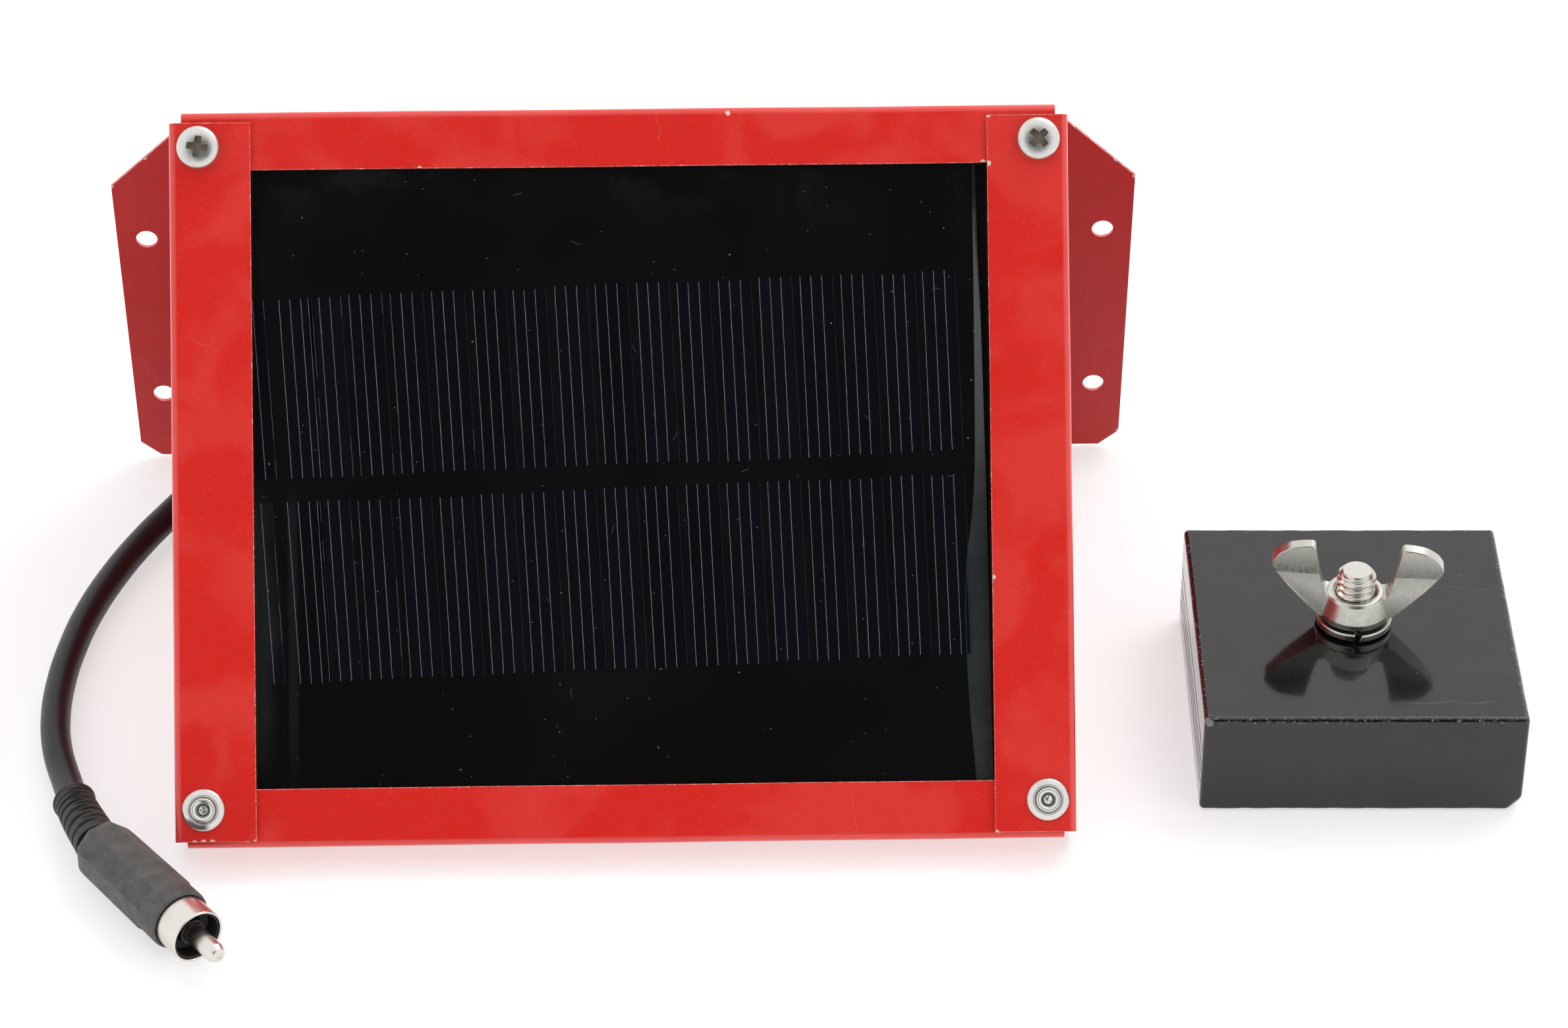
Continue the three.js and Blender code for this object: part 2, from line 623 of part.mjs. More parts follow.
function wingNut() {
  const { bore, baseRadius, topRadius, height } = NUT;
  const { span, rise, thickness } = NUT_WING;
  const hub = turned([[0, 0], [baseRadius, 0], [baseRadius, 1.2], [topRadius, height], [0, height]]);
  const wingShape = outline([
    [3.6, 0.6], [5.4, 0.6], [8.6, 3.6], [12.2, 5.2], [span / 2, 8.2],
    [span / 2, 11], [12.2, 12.9], [9.6, rise], [8.2, 12.2], [6.6, 7.4], [3.6, 3.4],
  ]);
  const wing = prism(wingShape, -thickness / 2, thickness / 2).rotateX(Math.PI / 2);
  const whole = join(hub, wing, wing.clone().rotateZ(Math.PI));
  return cut(whole, rod(0, 0, bore, -1, height + 20, 20)).translate(0, 0, NUT_FROM);
}

// ---- Assembly ----
const head = new THREE.Group();
head.position.set(HEAD_X, HEAD_Y, 0);
head.add(panelFrame, wallFrame);

for (const [name, side] of [["left", -1], ["right", 1]]) {
  add(panelFrame, `frame_rail_${name}`, sideRail(), materials.redPaint, side);
  add(panelFrame, `frame_screw_${name}`, panHeadScrew(), materials.steel, side);
  add(panelFrame, `frame_screw_nut_${name}`, screwNut(), materials.steel, side);
  add(panelFrame, `frame_rivet_${name}`, blindRivet(), materials.steel, side);
  add(head, `hood_bracket_${name}`, bracket(), materials.redPaint, side);
}
add(panelFrame, "frame_rail_top", endRail(SCREW_PLACE), materials.redPaint);
const bottomRail = add(
  panelFrame, "frame_rail_bottom",
  endRail({ u: RIVET_PLACE.u, v: FRAME_LENGTH - RIVET_PLACE.v }), materials.redPaint,
);
bottomRail.scale.y = -1;
bottomRail.position.y = FRAME_LENGTH;

add(panelFrame, "panel_gasket", gasket(), materials.foam);
add(panelFrame, "panel_base", laminateSheet(baseLow, baseLow + BASE_THICKNESS), materials.board);
add(panelFrame, "cell_row_upper", cellRow(0.5), materials.cell);
add(panelFrame, "cell_row_lower", cellRow(-0.5), materials.cell);
add(panelFrame, "panel_cover", laminateSheet(coverLow, laminateTop), materials.resin);

add(head, "hood_shell", hoodShell(), materials.redPaint);
add(head, "vent_floor", ventFloor(), materials.redPaint);

add(wallFrame, "fan_housing", fanHousing(), materials.blackPlastic);
add(wallFrame, "fan_stator", fanStator(), materials.steel);
const rotor = add(wallFrame, "fan_rotor", fanRotor(), materials.blackPlastic);
rotor.position.y = FAN_CENTRE_V;
add(wallFrame, "fan_guard", fingerGuard(), materials.steel);
cornerPlaces().forEach((place, i) => add(wallFrame, `fan_screw_${i + 1}`, fanScrew(place), materials.steel));

add(head, "junction_box", junctionBox(), materials.blackPlastic);
add(head, "junction_box_lid", junctionLid(), materials.blackPlastic);
add(head, "cord_gland", cordGland(), materials.rubber);
add(head, "fan_lead", tube(FAN_LEAD_ROUTE, LEAD_RADIUS, 8, 10), materials.blackPlastic);
add(head, "panel_lead", tube(PANEL_LEAD_ROUTE, LEAD_RADIUS, 8, 16), materials.blackPlastic);
add(head, "cord", tube(CORD_ROUTE, CORD_RADIUS, 10, 30), materials.rubber);
add(head, "plug_boot", tube(BOOT_ROUTE, BOOT_RADIUS, 12, 6), materials.rubber);

const plug = new THREE.Group();
plug.position.set(...PLUG_PLACE);
plug.rotation.z = PLUG_HEADING;
head.add(plug);
add(plug, "plug_body", plugBody(), materials.rubber);
add(plug, "plug_shell", plugRing(PLUG_SHELL), materials.steel);
add(plug, "plug_insulator", plugRing(PLUG_INSULATOR), materials.blackPlastic);
add(plug, "plug_pin", plugPin(), materials.steel);

const block = new THREE.Group();
block.position.set(BLOCK_PLACE.x, BLOCK_PLACE.y, 0);
block.rotation.z = BLOCK_TURN;
add(block, "clamp_block", clampBlock(), materials.blackPaint);
add(block, "block_bolt", blockBolt(), materials.steel);
add(block, "lock_washer", lockWasher(), materials.steel);
add(block, "wing_nut", wingNut(), materials.steel);

const kit = new THREE.Group();
kit.name = "solar_attic_fan";
kit.add(head, block);

export default kit;
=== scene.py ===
"""Looks of a small solar fan hood and its clamp block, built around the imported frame.

Shapes are worked out in millimetres in the part's own frames: the head's, the panel's (across, up
the slope, out of its face), the wall's, the plug's and the block's. Each frame is a matrix that
takes those millimetres to metres in the row frame.
"""

import json
import random
from math import atan2, copysign, cos, exp, pi, radians, sin, sqrt, tan

import bmesh
import bpy
from mathutils import Matrix, Vector, noise


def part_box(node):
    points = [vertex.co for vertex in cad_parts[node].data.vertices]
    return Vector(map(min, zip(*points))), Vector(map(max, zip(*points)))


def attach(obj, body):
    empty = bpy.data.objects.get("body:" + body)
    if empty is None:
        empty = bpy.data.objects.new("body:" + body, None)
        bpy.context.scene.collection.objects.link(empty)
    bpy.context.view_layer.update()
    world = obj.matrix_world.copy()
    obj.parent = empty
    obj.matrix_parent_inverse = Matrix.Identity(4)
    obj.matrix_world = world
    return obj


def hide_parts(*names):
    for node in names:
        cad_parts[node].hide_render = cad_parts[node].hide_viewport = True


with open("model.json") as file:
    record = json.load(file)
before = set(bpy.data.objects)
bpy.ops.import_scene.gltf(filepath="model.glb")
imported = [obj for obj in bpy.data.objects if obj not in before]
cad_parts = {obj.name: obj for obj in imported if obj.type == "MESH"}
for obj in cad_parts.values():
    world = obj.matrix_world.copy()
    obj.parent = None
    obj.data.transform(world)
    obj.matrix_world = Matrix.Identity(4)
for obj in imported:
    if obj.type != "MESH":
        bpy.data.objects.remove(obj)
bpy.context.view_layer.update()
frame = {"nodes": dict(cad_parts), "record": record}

MM = 0.001
scene = bpy.context.scene
dice = random.Random(7)

# ---- Driving dimensions, in millimetres ----
WALL_MOUNT = (-79.8, 32)  # the left wall mount in the wall's frame
PANEL_TO_WALL = radians(45)
FRAME_WIDTH = 139.8
FRAME_LENGTH = 114.3
FRAME_DEPTH = 9.5
FRAME_SHEET = 0.5
BEND_RADIUS = 1.3
SIDE_FACE = 12.7
SIDE_RAIL_FROM = 1
SIDE_RAIL_TO = 112.6
END_FACE = 9.1
END_RAIL_LENGTH = 136
END_RAIL_DROP = 0.8
SCREW_PLACE = (65.2, 108.7)
RIVET_PLACE = (65.4, 6)
FASTENER_SEAT = FRAME_DEPTH + 0.05
LAMINATE_HALF_WIDTH = 61.3
LAMINATE_LOW = 2.5
LAMINATE_HIGH = 111.8
LAMINATE_TOP = 7.9
CELL_ROW_HEIGHT = 28.3
CELL_ROW_PITCH = 31.7
CELL_ROW_FROM = -57.8
CELL_ARRAY_TURN = radians(1.8)
CELL_ARRAY_CENTRE = (-4.8, 56.8)
CELL_PITCH = 6.35
CELL_COUNT = 17
SECOND_CELL = -47.2
CELL_WIDTH = 5.3
LAST_CELL_WIDTH = 4.8
FINGER_PITCH = 1.69
FINGER_WIDTH = 0.085
FINGER_PARTS = 9
HOOD_SHEET = 0.6
CHEEK_OUTSIDE = 69.5
WING_OUTSIDE = 84.7
WING_HEIGHT = 73
WING_TOP_CHAMFER = 12.1
WING_BOTTOM_CHAMFER = 3.4
WING_HOLES = ((79.8, 14.6), (79.8, 49.4))
WING_HOLE_RADIUS = 1.8
WING_FOOT = 0.3
FLANGE_WIDTH = 12
FLANGE_FROM = 2.5
FLANGE_TO = 111.5
CORD_NOTCH = (85, 99, 9.8)
FAN_CENTRE = 42
FAN_HALF = 20
FAN_BORE = 18.6
FAN_SCREW_PLACE = 16
FAN_BACK = 1.2
FAN_FRONT = 11.2
FAN_HUB = 10.1
FAN_TIP = 17.8
FAN_BLADES = 7
CORD_DIAMETER = 4.8
LEAD_DIAMETER = 1.8
PLUG_HEADING = radians(-52.5)
PLUG_SHELL_MIDDLE = 25.75
BLOCK_TURN = radians(-1.18)
BLOCK_HALF = 25.4
BLOCK_HEIGHT = 18.2
PLY_LINES = (4.4, 6.4, 8.2, 10.8)
PLY_DEPTH = 0.3
PLY_GAP = 0.6
THREAD_PITCH = 1.27
BOLT_RADIUS = 3.1
BOLT_TOP = 28.5
NUT_SEAT = 20.3
NUT_TURN = radians(-5)
NUT_CREASE = 7.9
CAMERA_LENS = 114.94
CAMERA_PLACE = (-0.01628, -0.65615, 0.50104)  # in metres
CAMERA_DIP = radians(35.87)
CAMERA_TURN = radians(-1.147)

# routes in the head's frame
CORD_ROUTE = [
    (-58.6, 95.2, 6.9), (-63.5, 94.7, 6.7), (-68.7, 92.4, 6.1), (-73.4, 88.4, 5.1), (-78.2, 82.3, 3.9),
    (-82.6, 75.2, 3.0), (-86.3, 66.8, 2.6), (-89.2, 57.6, 2.5), (-91.1, 48, 2.5), (-92.1, 38.5, 2.5),
    (-92.1, 29.5, 2.5), (-91, 21, 2.6), (-88.3, 11.2, 3), (-86.8, 6, 3.85),
]
BOOT_ROUTE = [(-86.95, 6.5, 3.8), (-85.1, 1.5, 4.35), (-81.8, -6.1, 5.2)]
FAN_LEAD_ROUTE = [
    (-20.4, 97.3, 29.1), (-25.5, 97.1, 28), (-31.5, 96.2, 24.5), (-34.6, 95.2, 20), (-35, 95, 16.6),
]
PANEL_LEAD_ROUTE = [
    (-37, 33.2, 49.7), (-37.2, 37.2, 46.4), (-38, 48, 36), (-40, 64, 26.5), (-42.2, 80, 23.5),
    (-43.6, 90.5, 22), (-44, 94, 19.5), (-44, 94.3, 16.8),
]
# the resin rim's edges, as (up the panel, left, right)
RESIN_RIM = [
    (LAMINATE_LOW, 54.9, 57.3), (9.4, 54.5, 57.1), (17.7, 53.8, 56.95), (24, 53.4, 56.85),
    (31, 53.15, 56.8), (37, 53.1, 56.75), (44.4, 53.5, 56.65), (50.3, 54.3, 56.6), (57, 54.8, 56.5),
    (65.2, 54.95, 56.35), (81.8, 55, 56), (90.1, 55, 55.7), (105.2, 55, 55.42), (LAMINATE_HIGH, 55, 55.38),
]


# ---- Frames ----
def frame_matrix(origin, x, y, z):
    """Takes millimetres along x, y and z from origin to metres in the row frame."""
    turn = Matrix((x, y, z)).transposed() * MM
    return Matrix.Translation(origin) @ turn.to_4x4()


def part_frames():
    """The matrices of the head, panel, wall, plug and block frames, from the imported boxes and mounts."""
    mount = next(m for m in frame["record"]["mounts"] if m["name"] == "wall_face_left")
    lean = atan2(mount["axis"][2], mount["axis"][1])
    tilt = lean + PANEL_TO_WALL
    across = Vector((1, 0, 0))

    rail_low, rail_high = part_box("frame_rail_left")
    middle = (rail_low.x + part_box("frame_rail_right")[1].x) / 2
    up = Vector((0, cos(tilt), sin(tilt)))
    foot = Vector((middle, rail_high.y, rail_low.z))
    foot -= Vector((0, SIDE_RAIL_TO * up.y, SIDE_RAIL_FROM * up.z)) * MM
    panel = frame_matrix(foot, across, up, across.cross(up))
    head = frame_matrix((foot.x, foot.y, 0), across, (0, 1, 0), (0, 0, 1))

    wall_up = Vector((0, -sin(lean), cos(lean)))
    wall_foot = Vector(mount["pos_m"]) - (across * WALL_MOUNT[0] + wall_up * WALL_MOUNT[1]) * MM
    wall = frame_matrix(wall_foot, across, wall_up, across.cross(wall_up))

    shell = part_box("plug_shell")
    ahead = Vector((cos(PLUG_HEADING), sin(PLUG_HEADING), 0))
    back = (shell[0] + shell[1]) / 2 - ahead * PLUG_SHELL_MIDDLE * MM
    plug = frame_matrix(back, ahead, Vector((0, 0, 1)).cross(ahead), (0, 0, 1))

    block_low, block_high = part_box("clamp_block")
    centre = (block_low + block_high) / 2
    turn = Matrix.Rotation(BLOCK_TURN, 3, "Z")
    block = frame_matrix((centre.x, centre.y, block_low.z), turn.col[0], turn.col[1], turn.col[2])
    return head, panel, wall, plug, block


def direction(place, axis):
    """A frame's axis as a unit vector in the row frame."""
    return place.to_3x3().col[axis].normalized()


HEAD, PANEL, WALL, PLUG, BLOCK = part_frames()


# ---- Camera ----
def add_object(name, data):
    made = bpy.data.objects.new(name, data)
    scene.collection.objects.link(made)
    return made


def make_camera():
    data = bpy.data.cameras.new("camera")
    data.sensor_width = 36
    data.lens = CAMERA_LENS
    data.clip_start = 0.01
    scene.camera = add_object("camera", data)
    scene.camera.location = CAMERA_PLACE
    scene.camera.rotation_euler = (pi / 2 - CAMERA_DIP, 0, CAMERA_TURN)


make_camera()


# ---- Mesh helpers ----
def loft(bm, rings, wrap=False):
    """Skins rings of equal length, and closes the two ends or joins them."""
    loops = [[bm.verts.new(point) for point in ring] for ring in rings]
    pairs = list(zip(loops, loops[1:]))
    if wrap:
        pairs.append((loops[-1], loops[0]))
    for low, high in pairs:
        for i, vertex in enumerate(low):
            j = (i + 1) % len(low)
            bm.faces.new((vertex, low[j], high[j], high[i]))
    if not wrap:
        bm.faces.new(loops[0])
        bm.faces.new(loops[-1])


def skin(rings, wrap=False):
    bm = bmesh.new()
    loft(bm, rings, wrap)
    return bm


def rounded(points, radius, steps=4, closed=True):
    """An outline with its corners rounded; radius is one number or one for each corner."""
    radii = radius if hasattr(radius, "__len__") else [radius] * len(points)
    result = []
    for i, (point, r) in enumerate(zip(points, radii)):
        corner = Vector(point)
        if r <= 0 or (not closed and i in (0, len(points) - 1)):
            result.append(corner)
            continue
        before = Vector(points[i - 1]) - corner
        after = Vector(points[(i + 1) % len(points)]) - corner
        reach = min(r / tan(before.angle(after) / 2), before.length * 0.48, after.length * 0.48)
        start = corner + before.normalized() * reach
        end = corner + after.normalized() * reach
        for step in range(steps + 1):
            t = step / steps
            result.append(start.lerp(corner, t).lerp(corner.lerp(end, t), t))
    return result


def polar(radius, angle, z=0, centre=(0, 0)):
    return Vector((centre[0] + radius * cos(angle), centre[1] + radius * sin(angle), z))


def circle(radius, steps, centre=(0, 0), z=0):
    return [polar(radius, 2 * pi * i / steps, z, centre) for i in range(steps)]


def lathe(profile, steps=64, wrap=False):
    """A turned piece about Z from (radius, z) points; wrap closes the profile into a ring."""
    return skin([circle(max(r, 0.02), steps, z=z) for r, z in profile], wrap)


def prism(points, low, high):
    return skin([[Vector((p[0], p[1], z)) for p in points] for z in (low, high)])


def block(x0, x1, y0, y1, z0, z1):
    """A plain box between those planes."""
    return prism([(x0, y0), (x1, y0), (x1, y1), (x0, y1)], z0, z1)


def rounded_box(x, y, radius, steps):
    """The outline of a rectangle with rounded corners, from its two half widths."""
    return rounded([(-x, -y), (x, -y), (x, y), (-x, y)], radius, steps)


def shifted(bm, x, y):
    bmesh.ops.translate(bm, vec=(x, y, 0), verts=bm.verts)
    return bm


def turned(bm, angle):
    bmesh.ops.rotate(bm, matrix=Matrix.Rotation(angle, 3, "Z"), verts=bm.verts)
    return bm


def spaced(low, high, count):
    return [low + (high - low) * i / count for i in range(count + 1)]


def smooth_route(points, steps):
    """Points along a smooth line through a few given ones."""
    nodes = [Vector(p) for p in points]
    nodes = [nodes[0] * 2 - nodes[1], *nodes, nodes[-1] * 2 - nodes[-2]]
    line = []
    for a, b, c, d in zip(nodes, nodes[1:], nodes[2:], nodes[3:]):
        for step in range(steps):
            t = step / steps
            square, cube = 2 * a - 5 * b + 4 * c - d, 3 * b - a - 3 * c + d
            line.append(0.5 * (2 * b + (c - a) * t + square * t**2 + cube * t**3))
    return [*line, nodes[-2]]


def to_object(name, bm):
    bmesh.ops.recalc_face_normals(bm, faces=bm.faces)
    mesh = bpy.data.meshes.new(name)
    bm.to_mesh(mesh)
    bm.free()
    return add_object(name, mesh)


def apply_modifiers(obj):
    evaluated = obj.evaluated_get(bpy.context.evaluated_depsgraph_get())
    mesh = bpy.data.meshes.new_from_object(evaluated)
    obj.modifiers.clear()
    obj.data = mesh


def combine(obj, other, operation):
    """Joins or cuts obj by another object or mesh, which is used up."""
    tool = other if isinstance(other, bpy.types.Object) else to_object("tool", other)
    modifier = obj.modifiers.new("combine", "BOOLEAN")
    modifier.operation = operation
    modifier.solver = "EXACT"
    modifier.object = tool
    apply_modifiers(obj)
    bpy.data.objects.remove(tool)
    return obj


def smooth_flats(obj):
    """Keeps flat faces flat in the shading, next to rounded edges."""
    obj.modifiers.new("flat faces", "WEIGHTED_NORMAL").keep_sharp = True


def bevel(obj, width, segments=2, angle=40, material=-1):
    """Rounds the sharp edges, by a width in metres."""
    modifier = obj.modifiers.new("edges", "BEVEL")
    modifier.width = width
    modifier.segments = segments
    modifier.limit_method = "ANGLE"
    modifier.angle_limit = radians(angle)
    modifier.material = material
    smooth_flats(obj)


def dress(obj, body, materials, stands_for=(), place=None, crease=35):
    """Places a piece, gives it its materials and hangs it on its body."""
    if place is not None:
        obj.data.transform(place)
        if place.determinant() < 0:
            obj.data.flip_normals()
    obj.data.shade_smooth()
    obj.data.set_sharp_from_angle(angle=radians(crease))
    indices = [face.material_index for face in obj.data.polygons]
    obj.data.materials.clear()
    for material in materials:
        obj.data.materials.append(material)
    obj.data.polygons.foreach_set("material_index", indices)
    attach(obj, body)
    if stands_for:
        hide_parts(*stands_for)
    return obj


def round_curve(name, radius, resolution, material):
    data = bpy.data.curves.new(name, "CURVE")
    data.dimensions = "3D"
    data.bevel_depth = radius * MM
    data.bevel_resolution = resolution
    data.use_fill_caps = True
    data.materials.append(material)
    return data


def hang_curve(data):
    """Puts a curve on the head, once its points are in: it has a wrong box if it rides while empty."""
    made = add_object(data.name, data)
    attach(made, "head")
    return made


def cable(name, route, diameter, stands_for):
    """A round lead as a curve along a route in the head's frame."""
    data = round_curve(name, diameter / 2, 8, lead_rubber)
    data.resolution_u = 10
    spline = data.splines.new("BEZIER")
    spline.bezier_points.add(len(route) - 1)
    for knot, point in zip(spline.bezier_points, route):
        knot.co = HEAD @ Vector(point)
        knot.handle_left_type = "AUTO"
        knot.handle_right_type = "AUTO"
    made = hang_curve(data)
    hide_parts(stands_for)
    return made


# ---- Material helper ----
class Look:
    """A node material: one Principled shader and short ways to feed it."""

    def __init__(self, name, **sockets):
        self.material = bpy.data.materials.new(name)
        self.material.use_nodes = True
        self.nodes = self.material.node_tree.nodes
        self.links = self.material.node_tree.links
        self.shader = self.nodes["Principled BSDF"]
        for socket, value in sockets.items():
            self.set(socket.replace("_", " "), value)
        self.place = self.nodes.new("ShaderNodeTexCoord").outputs["Object"]
        self.relief = None  # the last bump node's output

    def set(self, socket, value):
        self.feed(self.shader.inputs[socket], value)

    def feed(self, socket, value):
        if isinstance(value, bpy.types.NodeSocket):
            self.links.new(value, socket)
        elif hasattr(value, "__len__") and len(value) == 3 and len(socket.default_value) == 4:
            socket.default_value = (*value, 1)
        else:
            socket.default_value = value

    def node(self, kind, values=(), **settings):
        made = self.nodes.new(kind)
        for key, value in settings.items():
            setattr(made, key, value)
        for key, value in dict(values).items():
            self.feed(made.inputs[key], value)
        return made

    def stretch(self, scale):
        return self.node("ShaderNodeMapping", {"Vector": self.place, "Scale": scale}).outputs[0]

    def noise(self, size, detail=3, rough=0.55, warp=0, vector=None):
        """Soft noise whose features are about size millimetres across."""
        made = self.node("ShaderNodeTexNoise", {
            "Vector": vector or self.place, "Scale": 1 / (size * MM),
            "Detail": detail, "Roughness": rough, "Distortion": warp,
        })
        return made.outputs["Fac"]

    def cells(self, size, feature="F1", vector=None):
        values = {"Vector": vector or self.place, "Scale": 1 / (size * MM)}
        return self.node("ShaderNodeTexVoronoi", values, feature=feature)

    def span(self, value, low, high, out_low=0.0, out_high=1.0):
        """Maps low..high to out_low..out_high, clamped and eased."""
        return self.node("ShaderNodeMapRange", {
            "Value": value, "From Min": low, "From Max": high, "To Min": out_low, "To Max": out_high,
        }, interpolation_type="SMOOTHSTEP").outputs[0]

    def math(self, operation, a, b=0.0):
        return self.node("ShaderNodeMath", {0: a, 1: b}, operation=operation).outputs[0]

    def times(self, a, *factors):
        for factor in factors:
            a = self.math("MULTIPLY", a, factor)
        return a

    def plus(self, a, b):
        return self.math("ADD", a, b)

    def larger(self, a, b):
        return self.math("MAXIMUM", a, b)

    def vector(self, operation, a, b, output="Vector"):
        return self.node("ShaderNodeVectorMath", {0: a, 1: b}, operation=operation).outputs[output]

    def mix(self, factor, a, b):
        return self.node("ShaderNodeMix", {0: factor, 6: a, 7: b}, data_type="RGBA").outputs[2]

    def along(self, direction, origin):
        """Distance in millimetres from origin along a direction."""
        offset = self.vector("SUBTRACT", self.place, origin)
        return self.times(self.vector("DOT_PRODUCT", offset, direction, "Value"), 1 / MM)

    def near(self, points, radius):
        """1 within radius millimetres of any of the points (in metres), with a ragged rim."""
        found = 0.0
        rim = self.times(self.noise(radius * 0.9, 4, 0.7), radius)
        for point in points:
            gap = self.times(self.vector("DISTANCE", self.place, point, "Value"), 1 / MM)
            found = self.larger(found, self.span(self.plus(gap, rim), radius * 1.25, radius * 1.15))
        return found

    def specks(self, spacing, size, share):
        """Tiny round specks, size millimetres across, in about that share of the cells."""
        grid = self.cells(spacing)
        draw = self.node("ShaderNodeSeparateColor", {"Color": grid.outputs["Color"]}).outputs[0]
        dot = self.span(grid.outputs["Distance"], size / spacing / 2, size / spacing / 4)
        return self.times(dot, self.math("LESS_THAN", draw, share))

    def hairlines(self, size, width, share, seed_offset=(0, 0, 0)):
        """Thin wandering lines, a few cells of a crackle pattern that noise lets through."""
        moved = self.vector("ADD", self.place, seed_offset)
        warp = self.node("ShaderNodeTexNoise", {"Vector": moved, "Scale": 1 / (size * 0.6 * MM), "Detail": 3})
        bend = self.vector("MULTIPLY", warp.outputs["Color"], (size * 0.4 * MM,) * 3)
        bent = self.vector("ADD", moved, bend)
        edge = self.cells(size, "DISTANCE_TO_EDGE", bent).outputs["Distance"]
        line = self.span(edge, width / size, width / size * 0.4)
        allowed = self.span(self.noise(size * 1.3, 1), 1 - share, 1.04 - share)
        return self.times(line, allowed)

    def bump(self, height, depth, strength=1.0):
        """Adds relief: depth in millimetres."""
        values = {"Height": height, "Distance": depth * MM, "Strength": strength}
        if self.relief is not None:
            values["Normal"] = self.relief
        self.relief = self.node("ShaderNodeBump", values).outputs[0]
        self.set("Normal", self.relief)


# ---- Materials ----
def red_paint(name, deep, hazy, chips, coat):
    """Satin red enamel: wiped patches, a little orange peel, dust, light scratches and chips."""
    look = Look(name, Coat_Weight=coat, Coat_Roughness=0.24, Specular_IOR_Level=0.4)
    wiped = look.span(look.noise(17, 3, 0.5, 0.5), 0.42, 0.60)
    mottle = look.noise(2.2, 4, 0.6)
    grain = look.noise(0.35, 2, 0.5)
    colour = look.mix(wiped, deep, hazy)
    colour = look.mix(look.span(mottle, 0.3, 0.75, 0, 0.22), colour, tuple(c * 0.8 for c in deep))
    colour = look.mix(look.span(grain, 0.55, 0.8, 0, 0.12), colour, (0.85, 0.25, 0.22))
    scratch = look.hairlines(11, 0.05, 0.36)
    colour = look.mix(look.times(scratch, 0.12), colour, (0.9, 0.42, 0.38))
    colour = look.mix(look.times(look.specks(4.5, 0.22, 0.22), 0.6), colour, (0.9, 0.55, 0.5))
    bare = look.near(chips, 0.6)
    look.set("Base Color", look.mix(bare, colour, (0.72, 0.66, 0.56)))
    rough = look.plus(look.span(wiped, 0, 1, 0.33, 0.41), look.span(mottle, 0.3, 0.8, 0, 0.08))
    look.set("Roughness", rough)
    look.bump(look.noise(0.8, 2, 0.5), 0.012, 0.5)
    look.bump(look.math("SUBTRACT", 1.0, bare), 0.05)
    look.bump(look.noise(26, 1, 0.5), 0.12, 0.25)
    return look.material


def cut_edge(name, paint):
    """The raw edge of the painted sheet: thin paint, with bare metal showing through in places."""
    look = Look(name, Specular_IOR_Level=0.5)
    bare = look.span(look.noise(1.7, 5, 0.75), 0.56, 0.62)
    thin = look.noise(0.5, 3, 0.6)
    colour = look.mix(look.span(thin, 0.35, 0.7), paint, (0.86, 0.24, 0.2))
    look.set("Base Color", look.mix(bare, colour, (0.74, 0.67, 0.56)))
    look.set("Roughness", look.span(thin, 0.3, 0.7, 0.35, 0.6))
    look.set("Metallic", look.times(bare, 0.5))
    look.bump(look.noise(0.3, 3, 0.6), 0.03)
    return look.material


def metal(name, colour, rough, brush_size=0.25, stretch=(1, 1, 0.08), stain=(0.3, 0.27, 0.22),
          stain_amount=0.35):
    """Stainless or zinc-plated steel with brushing, small dents and faint stains."""
    look = Look(name, Metallic=1.0)
    lines = look.noise(brush_size, 3, 0.6, vector=look.stretch(stretch))
    cloud = look.noise(3, 3, 0.5)
    tint = look.mix(look.span(cloud, 0.5, 0.8, 0, stain_amount), colour, stain)
    look.set("Base Color", look.mix(look.span(lines, 0.3, 0.8, 0, 0.12), tint, tuple(c * 0.8 for c in colour)))
    look.set("Roughness", look.plus(look.span(lines, 0.3, 0.7, rough, rough + 0.1),
                                    look.span(cloud, 0.5, 0.8, 0, 0.08)))
    look.bump(lines, 0.001, 0.5)
    look.bump(look.noise(2.4, 2, 0.5), 0.01, 0.4)
    return look.material


def edge_haze(look):
    """Cloudy resin beside the left rail, over the lower part of the panel."""
    foot = PANEL @ Vector((0, 0, LAMINATE_TOP))
    across = look.along((1, 0, 0), foot)
    height = look.along(direction(PANEL, 1), foot)
    wander = look.span(look.noise(20, 2), 0.3, 0.7, -1, 1)
    beside = look.span(look.plus(across, wander), -53, -56.5)
    band = look.times(look.span(across, -52.4, -51.8), look.span(across, -50.4, -51))
    low = look.times(look.span(height, 58, 50), look.span(height, 8, 20))
    return look.times(look.larger(beside, look.times(band, 0.5)), low)


def dusty(look, colour, coarse, fine, dust_colour):
    """Two sizes of dust, in those shares of their cells: where it lies, and the colour with it on."""
    dust = look.larger(look.specks(4, 0.32, coarse), look.specks(1.6, 0.18, fine))
    return dust, look.mix(look.times(dust, 0.75), colour, dust_colour)


